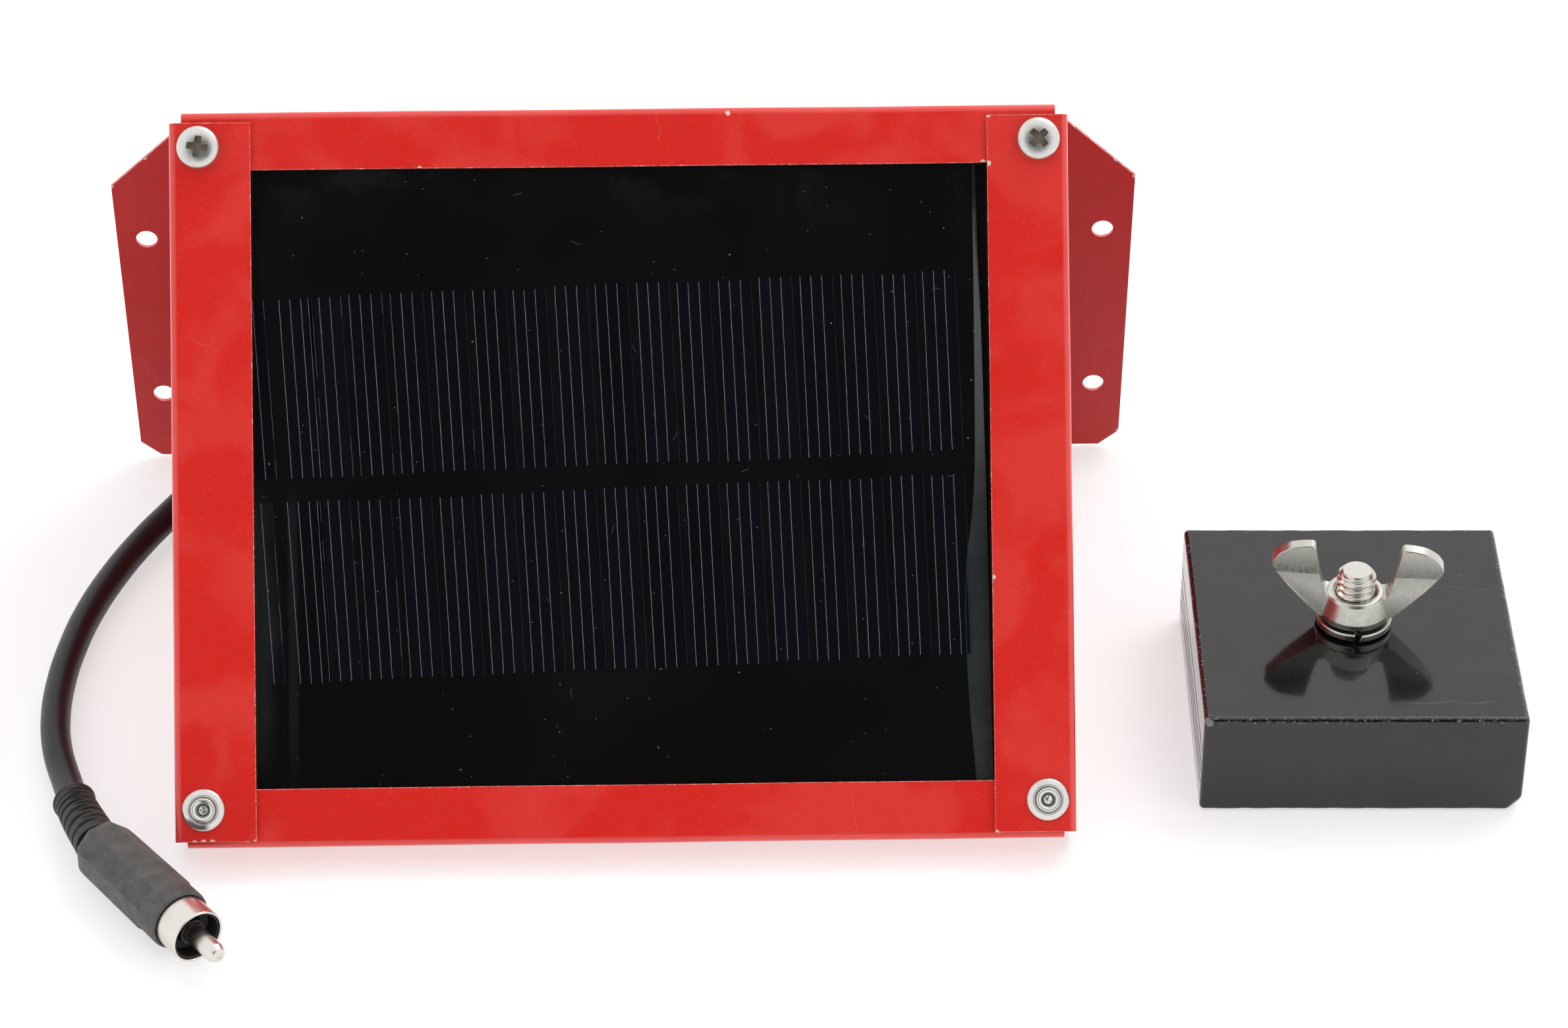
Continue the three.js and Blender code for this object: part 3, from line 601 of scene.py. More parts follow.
def laminate_look():
    """Black epoxy: mirror gloss, with grey finger smudges near its edges, and dust."""
    look = Look("laminate_black", Specular_IOR_Level=0.45, Coat_Weight=0.5, Coat_Roughness=0.04)
    height = look.along(direction(PANEL, 1), PANEL @ Vector((0, 0, LAMINATE_TOP)))
    top_band = look.span(height, 92, 105)
    low_band = look.span(height, 14, 4)
    cloud = look.span(look.noise(9, 4, 0.62, 0.4), 0.46, 0.68)
    smudge = look.times(look.larger(top_band, look.times(low_band, 0.6)), cloud)
    haze = look.span(look.noise(24, 3, 0.5), 0.35, 0.75)
    colour = look.mix(haze, (0.0030, 0.0030, 0.0028), (0.0046, 0.0047, 0.0052))
    colour = look.mix(look.times(smudge, 0.3), colour, (0.014, 0.015, 0.017))
    dust, colour = dusty(look, colour, 0.5, 0.45, (0.3, 0.31, 0.3))
    look.set("Base Color", look.mix(edge_haze(look), colour, (0.014, 0.016, 0.016)))
    look.set("Roughness", look.plus(look.span(smudge, 0, 1, 0.07, 0.16), look.span(haze, 0, 1, 0, 0.05)))
    look.bump(look.noise(45, 1, 0.4), 0.05, 0.12)
    look.bump(dust, 0.03, 0.4)
    return look.material


def cell_look():
    """Deep navy silicon under gloss, each strip a touch different."""
    look = Look("cell_navy", Specular_IOR_Level=0.45, Coat_Weight=0.5, Coat_Roughness=0.04, Roughness=0.16)
    strip = look.node("ShaderNodeAttribute", attribute_name="shade").outputs["Fac"]
    grain = look.noise(1.1, 4, 0.65)
    colour = look.mix(strip, (0.0020, 0.0021, 0.0042), (0.0034, 0.0036, 0.0070))
    colour = look.mix(look.span(grain, 0.4, 0.75, 0, 0.5), colour, (0.0026, 0.0030, 0.0044))
    dust, colour = dusty(look, colour, 0.4, 0.35, (0.3, 0.31, 0.33))
    look.set("Base Color", look.mix(edge_haze(look), colour, (0.014, 0.016, 0.016)))
    look.bump(look.noise(30, 2, 0.4), 0.05, 0.2)
    look.bump(dust, 0.03, 0.4)
    return look.material


def finger_look():
    look = Look("finger_silver", Metallic=0.3, Roughness=0.45)
    wear = look.noise(1.5, 4, 0.7)
    silver = look.mix(look.span(wear, 0.3, 0.7), (0.15, 0.15, 0.145), (0.26, 0.26, 0.245))
    shade = look.node("ShaderNodeAttribute", attribute_name="shade").outputs["Fac"]
    look.set("Base Color", look.mix(shade, (0.010, 0.008, 0.005), silver))
    look.bump(wear, 0.01)
    return look.material


def edge_resin_look():
    """The pale green-grey rim where the resin runs down at the laminate's edge."""
    look = Look("resin_rim", Roughness=0.16, Specular_IOR_Level=0.5, Coat_Weight=0.4, Coat_Roughness=0.08)
    cloud = look.noise(5, 3, 0.6)
    look.set("Base Color", look.mix(look.span(cloud, 0.3, 0.7), (0.021, 0.026, 0.025), (0.031, 0.037, 0.036)))
    look.bump(look.noise(2.5, 3, 0.6), 0.03, 0.5)
    return look.material


def rubber(name, dark, light, rough, dust_amount, grain=0.4):
    """Moulded rubber or PVC with a dusty, slightly rubbed surface."""
    look = Look(name, Specular_IOR_Level=0.4)
    patch = look.noise(3.2, 4, 0.65)
    fine = look.noise(0.5, 3, 0.6)
    colour = look.mix(look.span(patch, 0.35, 0.72), dark, light)
    dust = look.times(look.span(look.noise(0.28, 4, 0.7), 0.62, 0.74), dust_amount)
    colour = look.mix(dust, colour, (0.16, 0.15, 0.135))
    colour = look.mix(look.times(look.hairlines(5, 0.05, 0.3), dust_amount), colour, (0.2, 0.19, 0.17))
    look.set("Base Color", colour)
    look.set("Roughness", look.span(fine, 0.3, 0.7, rough - 0.06, rough + 0.08))
    look.bump(fine, 0.02, grain)
    look.bump(patch, 0.05, grain)
    return look.material


def plastic(name, colour, rough):
    """Moulded plastic with a fine spark-eroded texture."""
    look = Look(name)
    grain = look.noise(0.25, 3, 0.6)
    cloud = look.noise(6, 3, 0.6)
    lighter = tuple(c * 1.6 + 0.002 for c in colour)
    look.set("Base Color", look.mix(look.span(cloud, 0.3, 0.75), colour, lighter))
    look.set("Roughness", look.span(grain, 0.3, 0.7, rough - 0.05, rough + 0.08))
    look.bump(grain, 0.015, 0.5)
    return look.material


def block_paint():
    """Thick glossy black paint over plywood: sagging brush marks, ply layers on the sides with painted
    reflection, chips and cracks.
    """
    look = Look("block_black", Specular_IOR_Level=0.45, Coat_Weight=0.3, Coat_Roughness=0.03)
    x_side, y_side = (look.math("ABSOLUTE", look.along(direction(BLOCK, axis), BLOCK.translation))
                      for axis in (0, 1))
    height = look.along((0, 0, 1), BLOCK.translation)
    cloud = look.noise(8, 4, 0.6)
    colour = look.mix(look.span(cloud, 0.35, 0.7), (0.0045, 0.0048, 0.0050), (0.0085, 0.0090, 0.0092))
    cracks = look.hairlines(26, 0.07, 0.4, (0.003, 0.011, 0))
    cracks = look.times(cracks, look.span(height, 17.6, 18.1), 0.3)
    colour = look.mix(cracks, colour, (0.09, 0.095, 0.1))
    dust = look.larger(look.specks(5, 0.24, 0.35), look.specks(1.9, 0.1, 0.2))
    colour = look.mix(look.times(dust, 0.7), colour, (0.32, 0.31, 0.3))
    rim = look.span(look.larger(x_side, y_side), BLOCK_HALF - 1, BLOCK_HALF - 0.65)
    worn = look.span(look.noise(0.55, 5, 0.8), 0.57, 0.64)
    rubbed = look.times(rim, look.span(height, BLOCK_HEIGHT - 1, BLOCK_HEIGHT - 0.45), worn)
    colour = look.mix(look.times(rubbed, 0.9), colour, (0.42, 0.43, 0.45))
    chip = look.near(BLOCK_CHIPS, 0.9)
    # Paler brown, rougher band on the sides: the ply layers, with painted reflection of the light on them.
    plies_and_reflection = look.times(
        look.span(x_side, BLOCK_HALF - 0.06, BLOCK_HALF - 0.12),
        look.span(y_side, BLOCK_HALF - 1, BLOCK_HALF - 1.1),
        look.span(height, 3, 3.1), look.span(height, 13, 12.9),
    )
    colour = look.mix(plies_and_reflection, colour, (0.16, 0.12, 0.10))
    look.set("Base Color", look.mix(chip, colour, (0.16, 0.175, 0.165)))
    gloss = look.plus(look.span(cloud, 0.3, 0.8, 0.10, 0.16), look.times(plies_and_reflection, 0.45))
    look.set("Roughness", look.plus(gloss, look.times(look.larger(rubbed, chip), 0.3)))
    look.bump(look.noise(34, 2, 0.4), 0.35, 0.12)
    on_top = look.span(height, 16.8, 17.5, 0.25, 1)
    look.bump(look.times(look.noise(3.5, 3, 0.5), on_top), 0.05, 0.4)
    look.bump(look.math("SUBTRACT", 1.0, look.larger(rubbed, cracks)), 0.06, 0.6)
    return look.material


def wound_copper():
    look = Look("copper", Metallic=1.0, Roughness=0.3)
    turns = look.noise(0.2, 2, 0.5, vector=look.stretch((0.15, 1, 1)))
    look.set("Base Color", look.mix(turns, (0.45, 0.17, 0.07), (0.75, 0.34, 0.16)))
    look.bump(turns, 0.08)
    return look.material


def foam_look():
    look = Look("gasket_foam", Roughness=0.95)
    pores = look.cells(0.5).outputs["Distance"]
    look.set("Base Color", look.mix(pores, (0.03, 0.03, 0.032), (0.07, 0.07, 0.072)))
    look.bump(pores, 0.15)
    return look.material


def lint_look():
    look = Look("lint_grey", Roughness=0.8)
    look.set("Base Color", look.mix(look.noise(1, 2), (0.07, 0.07, 0.07), (0.2, 0.2, 0.19)))
    return look.material


def chip_points(spots, place):
    return [tuple(place @ Vector(spot)) for spot in spots]


FRAME_CHIPS = chip_points([
    *((across, SIDE_RAIL_FROM, FRAME_DEPTH) for across in (-57.3, -64, -65.4, -66.8, 57.3)),
    (57.4, SIDE_RAIL_TO, FRAME_DEPTH), (56.6, 105.3, FRAME_DEPTH - 0.8), (57.4, 105, FRAME_DEPTH),
    (57.3, 40.6, FRAME_DEPTH), (-31, 105.1, FRAME_DEPTH - 0.8), (17, 113.3, FRAME_DEPTH - 1),
], PANEL)
WING_CHIPS = chip_points([
    (WING_OUTSIDE, 60.9, 0.6), (WING_OUTSIDE - 3.4, 64.5, 0.6), (-WING_OUTSIDE, 60.9, 0.6),
    (WING_OUTSIDE, 3.4, 0.6), (-WING_OUTSIDE + 3.4, 0, 0.6), (-WING_OUTSIDE + 6, 67, 0.6),
], WALL)
BLOCK_CHIPS = chip_points([(-25.2, -25.2, 17.9), (-24.6, -25.3, 17.4)], BLOCK)

RED = (0.74, 0.012, 0.006)
# The hood is the frame's paint darkened: HOOD_RED_SHADED and the hood's edge colour are painted shade, for
# faces that catch less light.
HOOD_RED_SHADED = (0.50, 0.009, 0.009)
paint = red_paint("frame_red", RED, (0.77, 0.028, 0.018), FRAME_CHIPS, 1.0)
paint_edge = cut_edge("frame_red_edge", (0.62, 0.05, 0.04))
hood_paint_shaded = red_paint("hood_red_shaded", HOOD_RED_SHADED, (0.52, 0.014, 0.013), WING_CHIPS, 0.0)
hood_edge_shaded = cut_edge("hood_red_edge", (0.5, 0.05, 0.045))
stainless = metal("stainless", (0.68, 0.68, 0.65), 0.24, stain_amount=0.2)
# Darker, browner steel inside the cross recesses: grime, with painted shade.
recess_grime_and_shade_steel = metal("recess_grime_and_shade_steel", (0.40, 0.36, 0.29), 0.35, stain_amount=0.6)
aluminium = metal("rivet_aluminium", (0.68, 0.67, 0.64), 0.14, stain_amount=0.2)
zinc = metal("zinc_steel", (0.62, 0.605, 0.555), 0.2, 0.5, (1, 1, 0.5), (0.34, 0.29, 0.2), 0.2)
satin_steel = metal("wing_nut_steel", (0.56, 0.55, 0.505), 0.24, 0.5, (1, 1, 0.5), (0.4, 0.36, 0.28), 0.12)
nickel = metal("plug_nickel", (0.74, 0.71, 0.65), 0.2, 0.2, (1, 1, 1), stain_amount=0.15)
lead_rubber = rubber("lead_rubber", (0.0055, 0.0065, 0.009), (0.010, 0.012, 0.016), 0.4, 0.08, 0.2)
plug_rubber = rubber("plug_rubber", (0.062, 0.060, 0.056), (0.100, 0.097, 0.090), 0.52, 0.3, 0.5)
boot_rubber = rubber("boot_rubber", (0.022, 0.020, 0.018), (0.045, 0.041, 0.037), 0.58, 0.3, 0.5)
black_plastic = plastic("fan_plastic", (0.012, 0.012, 0.013), 0.42)
insulator_plastic = plastic("plug_insulator_black", (0.006, 0.006, 0.006), 0.5)
laminate = laminate_look()
cell = cell_look()
finger = finger_look()
resin_rim = edge_resin_look()
block_black = block_paint()
copper = wound_copper()
foam = foam_look()


# ---- The lead and its plug ----
def make_boot():
    """Ribbed strain relief: slots cut from either side in turn, so that it can bend."""
    line = smooth_route(BOOT_ROUTE, 72)
    count = len(line) - 1
    sides = 72
    slots = 6
    rings = []
    for i, centre in enumerate(line):
        t = i / count
        ahead = (line[min(i + 1, count)] - line[max(i - 1, 0)]).normalized()
        right = ahead.cross(Vector((0, 0, 1))).normalized()
        up = right.cross(ahead)
        radius = 3.1 + 0.5 * t + 0.3 * exp(-((t - 0.04) / 0.04) ** 2)
        radius -= 0.6 * max(0, 1 - t / 0.02)
        ring = []
        for k in range(sides):
            angle = 2 * pi * k / sides
            depth = 0
            for slot in range(2 * slots):
                middle = 0.11 + 0.8 * (slot + 0.5) / (2 * slots)
                side = 1 if slot % 2 else -1
                opening = min(1, max(0, (side * cos(angle) + 0.42) / 0.5))
                depth = max(depth, opening * exp(-(((t - middle) / 0.017) ** 4)))
            r = radius - 1.05 * depth
            ring.append(centre + (right * cos(angle) + up * sin(angle)) * r)
        rings.append(ring)
    boot = to_object("plug_boot_ribbed", skin(rings))
    return dress(boot, "head", [boot_rubber], ["plug_boot"], HEAD, 60)


def make_plug_body():
    """Moulded grip: eight flats that run out into a round collar."""
    sides = 96
    octagon = pi / 4
    stations = [
        (0, 3.1), (0.12, 3.6), (0.45, 4.05), (0.95, 4.36), (1.7, 4.55), (3, 4.62), (6, 4.66), (9, 4.7),
        (12, 4.74), (15, 4.78), (17, 4.8), (17.6, 4.8), (18.2, 4.82), (18.6, 4.84), (18.9, 4.87), (19.3, 4.9),
        (20, 4.95), (21.5, 4.98), (22.6, 4.98), (23, 4.9), (23.2, 4.72), (23.25, 4.55), (22.6, 4.5),
    ]
    rings = []
    for s, size in stations:
        ring = []
        for k in range(sides):
            angle = 2 * pi * k / sides
            off_flat = abs((angle + octagon / 2) % octagon - octagon / 2)
            flat = min(size / cos(off_flat), size * 1.078)
            corner = off_flat / (octagon / 2)
            blend = min(1, max(0, (s - 17.6 - 0.9 * corner) / 0.9))
            collar = size + 0.02 if s > 17 else size
            r = flat * (1 - blend) + collar * blend
            r *= 1 + 0.004 * noise.noise(Vector((s * 0.3, cos(angle), sin(angle))))
            ring.append(Vector((s, r * cos(angle), r * sin(angle))))
        rings.append(ring)
    grip = to_object("plug_grip", skin(rings))
    return dress(grip, "head", [plug_rubber], ["plug_body"], PLUG, 14)


def make_plug_metal():
    shell = lathe(rounded([
        (4.02, 22.7), (4.4, 22.7), (4.4, 27.9), (4.34, 28.02), (4.1, 28.02), (4.02, 27.9),
    ], 0.06, 3), 96, wrap=True)
    pin = lathe(rounded([
        (0, 23.8), (1.6, 23.8), (1.6, 32.7), (1.2, 33.6), (0.5, 34), (0.35, 33.8), (0, 33.7),
    ], [0, 0.05, 0.7, 0.5, 0.15, 0.1, 0], 4, closed=False), 64)
    insulator = lathe(rounded([
        (1.66, 23.5), (3.98, 23.5), (3.98, 27.7), (3.7, 27.7), (3.6, 25.2), (2.3, 25), (2.1, 26.6),
        (1.66, 26.6),
    ], 0.12, 3), 64, wrap=True)
    along = PLUG @ Matrix.Rotation(pi / 2, 4, "Y")
    return [
        dress(to_object("plug_outer_shell", shell), "head", [nickel], ["plug_shell"], along),
        dress(to_object("plug_centre_pin", pin), "head", [nickel], ["plug_pin"], along),
        dress(to_object("plug_insulator_ring", insulator), "head", [insulator_plastic],
              ["plug_insulator"], along),
    ]


def make_lead():
    lead = cable("lead", CORD_ROUTE, CORD_DIAMETER, "cord")
    make_boot()
    make_plug_body()
    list(make_plug_metal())


make_lead()


# ---- Panel frame ----
def channel_profile(outer, face, low, high):
    """The outside of a folded channel that opens towards -X, as (across, out) points."""
    return rounded(
        [(outer - face, low), (outer, low), (outer, high), (outer - face, high)],
        [0, BEND_RADIUS, BEND_RADIUS, 0], 8, closed=False,
    )


def folded_sheet(name, bm, thickness, offset, materials, stands_for, edge):
    """Thickens a sheet, inwards for an offset of -1; its rim takes the second material."""
    made = to_object(name, bm)
    outward = direction(PANEL, 2)
    foremost = max(made.data.polygons, key=lambda face: face.center.dot(outward))
    if foremost.normal.dot(outward) < 0:
        made.data.flip_normals()
    dress(made, "head", materials, [stands_for])
    solid = made.modifiers.new("sheet", "SOLIDIFY")
    solid.thickness = thickness * MM
    solid.offset = offset
    solid.use_even_offset = True
    solid.material_offset_rim = 1
    bevel(made, edge, 2, 60, 1)


def make_channel(name, profile, low, high, point):
    """A rail from a grid over its outside: one row of vertices for each station along it."""
    bm = bmesh.new()
    rows = [[bm.verts.new(point(across, out, along)) for across, out in profile]
            for along in spaced(low, high, 24)]
    for near, far in zip(rows, rows[1:]):
        for i in range(len(near) - 1):
            bm.faces.new((near[i], near[i + 1], far[i + 1], far[i]))
    folded_sheet(f"rail_{name}_channel", bm, FRAME_SHEET, -1, [paint, paint_edge],
                 f"frame_rail_{name}", 0.00011)


def make_side_rail(name, side):
    profile = channel_profile(FRAME_WIDTH / 2, SIDE_FACE, 0, FRAME_DEPTH)

    def point(across, out, along):
        wave = 0.06 * noise.noise(Vector((along * 0.05, side * 3.1, out * 0.2)))
        lift = 0.05 * noise.noise(Vector((along * 0.04, side * 1.7, across * 0.05))) * (out > FRAME_DEPTH / 2)
        return PANEL @ Vector((side * (across + wave), along, out + lift))

    make_channel(name, profile, SIDE_RAIL_FROM, SIDE_RAIL_TO, point)


def make_end_rail(name, outer, direction):
    """direction is 1 for the top rail, whose web faces up the slope, and -1 for the bottom one."""
    profile = channel_profile(0, END_FACE, END_RAIL_DROP, FRAME_DEPTH - END_RAIL_DROP)

    def point(across, out, along):
        wave = 0.07 * noise.noise(Vector((along * 0.05, direction * 2.3, out * 0.2)))
        return PANEL @ Vector((along, outer + direction * (across + wave), out))

    make_channel(name, profile, -END_RAIL_LENGTH / 2, END_RAIL_LENGTH / 2, point)


def cross_outline(arm, half, z):
    """A cross: its arms' reach and half width, with the inner corners cut back a little."""
    corners = []
    for turn in range(4):
        spin = Matrix.Rotation(turn * pi / 2, 2)
        corners += [spin @ Vector((half, -arm)), spin @ Vector((half, -half)) + spin @ Vector((0.12, -0.12))]
        corners.append(spin @ Vector((arm, -half)))
    return [Vector((c.x, c.y, z)) for c in corners]


def crown(height, share):
    """How high a pan head stands, from 0 at its rim to 1 in the middle."""
    return height * (0.42 + 0.58 * share ** 0.7)


def phillips_head(radius, height, arm, half, depth):
    """A pan head with its cross recess, seat at z = 0."""
    dome = [(radius * sin(a), crown(height, cos(a))) for a in (pi / 2 * i / 14 for i in range(13, -1, -1))]
    profile = [(0, 0), (radius - 0.08, 0), (radius, 0.1), (radius, crown(height, 0)), *dome]
    head = to_object("head", lathe(profile, 96))
    recess = [cross_outline(arm * 0.6, half * 0.75, height - depth), cross_outline(arm, half, height + 0.1)]
    return combine(head, skin(recess), "DIFFERENCE")


def darken_recess_grime_and_shade(screw, radius, height, arm):
    """Gives the faces inside the cross recess the second material: darker, browner metal for grime, with
    painted shade.
    """
    for face in screw.data.polygons:
        reach = face.center.to_2d().length
        if 0 < face.center.z and reach < arm + 0.1:
            surface = crown(height, sqrt(1 - (reach / radius) ** 2))
            face.material_index = int(face.center.z < surface - 0.12)


def make_screw(name, head, thread, stands_for, place, turn):
    """head is (radius, height, the cross's arm, half width and depth), thread (crest, root, pitch, end)."""
    radius, height, arm = head[:3]
    screw = combine(phillips_head(*head), threaded(*thread, -0.05, 24), "UNION")
    screw.name = name
    darken_recess_grime_and_shade(screw, radius, height, arm)
    place = place @ Matrix.Rotation(turn, 4, "Z")
    return dress(screw, "head", [stainless, recess_grime_and_shade_steel], [stands_for], place, 30)


def on_panel(side, spot, out):
    return PANEL @ Matrix.Translation((side * spot[0], spot[1], out))


def make_frame_screw(name, side, turn):
    screw = make_screw(f"screw_{name}_phillips", (3.3, 2.1, 1.8, 0.5, 1.35), (1.6, 1.25, 0.9, -14),
                       f"frame_screw_{name}", on_panel(side, SCREW_PLACE, FASTENER_SEAT + 0.25), turn)
    bevel(screw, 0.00006, 2, 50)

    nut = to_object(f"screw_{name}_nut", prism([p.to_2d() for p in circle(3.65, 6)], -3.35, -1.25))
    combine(nut, lathe([(1.65, -5), (1.65, 0)], 40), "DIFFERENCE")
    dress(nut, "head", [stainless], [f"frame_screw_nut_{name}"],
          on_panel(side, SCREW_PLACE, 0), 25)
    bevel(nut, 0.00015, 2, 25)


def threaded(major, root, pitch, low, high, per_turn=36, chamfer=0.0):
    """A threaded rod about Z: the radius follows the thread's phase round and up the rod."""
    rings = []
    for z in spaced(low, high, max(2, round((high - low) * 12 / pitch))):
        ring = []
        for k in range(per_turn):
            angle = 2 * pi * k / per_turn
            phase = (z / pitch - k / per_turn) % 1
            crest = (0.5 - 0.5 * cos(2 * pi * phase)) ** 0.8
            r = root + (major - root) * crest
            if chamfer:
                r = min(r, root + max(0, high - chamfer - z) * 1.5, root - 0.25 + (high - z))
            ring.append(polar(r, angle, z))
        rings.append(ring)
    return skin(rings)


def make_rivet(name, side):
    """Blind rivet: domed flange, raised collar and the snapped mandrel in its hole."""
    body = lathe(rounded([
        (0, -13.5), (1.9, -13.5), (2.4, -12.8), (2.4, -11.4), (1.6, -10.7), (1.6, 0), (3.2, 0),
        (3.32, 0.15), (3.1, 0.42), (2.35, 0.75), (2.05, 0.5), (1.88, 1.2), (1.6, 1.3), (1.16, 1.1),
        (1.08, 0.06), (0.74, 0.06), (0.7, 0.5), (0, 0.6),
    ], [0, 0.3, 0.2, 0.4, 0.2, 0.1, 0.05, 0.1, 0.4, 0.1, 0.05, 0.12, 0.2, 0.15, 0.1, 0.05, 0.12, 0], 4,
        closed=False), 96)
    for vertex in body.verts:
        if vertex.co.z > 0.2 and vertex.co.to_2d().length < 0.7:
            vertex.co.z += 0.18 * noise.noise(vertex.co * 2.2 + Vector((side, 0, 0)))
    dress(to_object(f"rivet_{name}_domed", body), "head", [aluminium], [f"frame_rivet_{name}"],
          on_panel(side, RIVET_PLACE, FASTENER_SEAT), 40)


for rail_name, rail_side, cross_turn in (("left", -1, -8), ("right", 1, 44)):
    make_side_rail(rail_name, rail_side)
    make_frame_screw(rail_name, rail_side, radians(cross_turn))
    make_rivet(rail_name, rail_side)
make_end_rail("top", FRAME_LENGTH, 1)
make_end_rail("bottom", 0, -1)


# ---- Solar laminate ----
def make_laminate():
    """The black sheet, and the pale resin rim that runs down along its right-hand side."""
    edge = LAMINATE_HALF_WIDTH
    sheet, rim = [], []
    for v, left, right in smooth_route(RESIN_RIM, 4):
        section = [(-edge, -0.9), (edge, -0.9), (edge, -0.75), (right + 0.02, -0.75), (right, -0.3), (left, 0),
                   (-edge, 0)]
        sheet.append([Vector((across, v, LAMINATE_TOP + out)) for across, out in section])
        section = [(left - 0.05, 0.03), (right, -0.26), (right, -0.316), (left, -0.016)]
        rim.append([Vector((across, v, LAMINATE_TOP + out)) for across, out in section])
    sheet = to_object("laminate_sheet", skin(sheet))
    dress(sheet, "head", [laminate], ["panel_cover"], PANEL, 5)
    dress(to_object("laminate_rim", skin(rim)), "head", [resin_rim], (), PANEL, 60)


def make_cell_row(name, step):
    """One row of shingled strips, step pitches up from the middle. Each has three silver fingers and
    a fourth one that shows faintly under the next strip. The strips lean less to the right, and
    their pitch is regular from the second one on."""
    low = LAMINATE_TOP - 0.05
    half = CELL_ROW_HEIGHT / 2
    edge = CELL_ROW_FROM - CELL_ARRAY_CENTRE[0]
    starts = [SECOND_CELL - 12, SECOND_CELL - 4.5]
    starts += [SECOND_CELL + i * CELL_PITCH for i in range(CELL_COUNT - 1)]
    strips = bmesh.new()
    strip_shade = strips.faces.layers.float.new("shade")
    fingers = bmesh.new()
    finger_shade = fingers.faces.layers.float.new("shade")

    def shaded_quad(bm, layer, shade, corners, z0, z1):
        """A flat sliver on four (across, up) corners."""
        before = len(bm.faces)
        loft(bm, [[Vector((*corner, z)) for corner in corners] for z in (z0, z1)])
        bm.faces.ensure_lookup_table()
        for face in bm.faces[before:]:
            face[layer] = shade

    for i, start in enumerate(starts):
        share = i / len(starts)
        lean = tan(radians(3.75 - 1.95 * share) - CELL_ARRAY_TURN)
        left = start - CELL_ARRAY_CENTRE[0] + dice.uniform(-0.07, 0.07)
        top = half + dice.uniform(-0.35, 0.05)
        bottom = -half + dice.uniform(-0.05, 0.35)
        width = LAST_CELL_WIDTH if i == len(starts) - 1 else CELL_WIDTH

        def at(x, y):
            return max(edge, left + x - lean * y), y

        corners = [at(-0.25, bottom), at(width, bottom), at(width, top), at(-0.25, top)]
        shaded_quad(strips, strip_shade, dice.random(), corners, low, LAMINATE_TOP + 0.02)
        for k in range(4):
            x = k * FINGER_PITCH
            if left + x - lean * top < edge:
                continue
            for part in range(FINGER_PARTS):
                shade = dice.uniform(0.75, 1)
                if k == 3:
                    shade = 0.5 if dice.random() < 0.4 - 0.06 * i else dice.uniform(0.0, 0.05)
                elif k == 0 and 1 < i < 5:
                    shade = dice.uniform(0.3, 0.9)
                y0 = bottom + (top - bottom) * part / FINGER_PARTS
                y1 = bottom + (top - bottom) * (part + 1) / FINGER_PARTS
                w = FINGER_WIDTH / 2 * (0.75 if k == 3 else 1)
                corners = [at(x - w, y0), at(x + w, y0), at(x + w, y1), at(x - w, y1)]
                shaded_quad(fingers, finger_shade, shade, corners, LAMINATE_TOP, LAMINATE_TOP + 0.04)
    place = (PANEL @ Matrix.Translation((*CELL_ARRAY_CENTRE, 0)) @ Matrix.Rotation(CELL_ARRAY_TURN, 4, "Z")
             @ Matrix.Translation((0, step * CELL_ROW_PITCH, 0)))
    dress(to_object(f"cells_{name}_strips", strips), "head", [cell], [f"cell_row_{name}"], place, 30)
    dress(to_object(f"cells_{name}_fingers", fingers), "head", [finger], (), place, 30)


def make_lint():
    """A few fibres that lie on the laminate."""
    data = round_curve("lint_fibres", 0.02, 1, lint_look())
    for _ in range(12):
        start = Vector((dice.uniform(-52, 52), dice.uniform(8, 102), LAMINATE_TOP + 0.08))
        heading = dice.uniform(0, 2 * pi)
        spline = data.splines.new("POLY")
        spline.points.add(5)
        for knot in spline.points:
            knot.co = (*(PANEL @ start), 1)
            start = start + Vector((cos(heading), sin(heading), 0)) * 0.28
            heading += dice.uniform(-0.7, 0.7)
    hang_curve(data)


make_laminate()
make_cell_row("upper", 0.5)
make_cell_row("lower", -0.5)
make_lint()


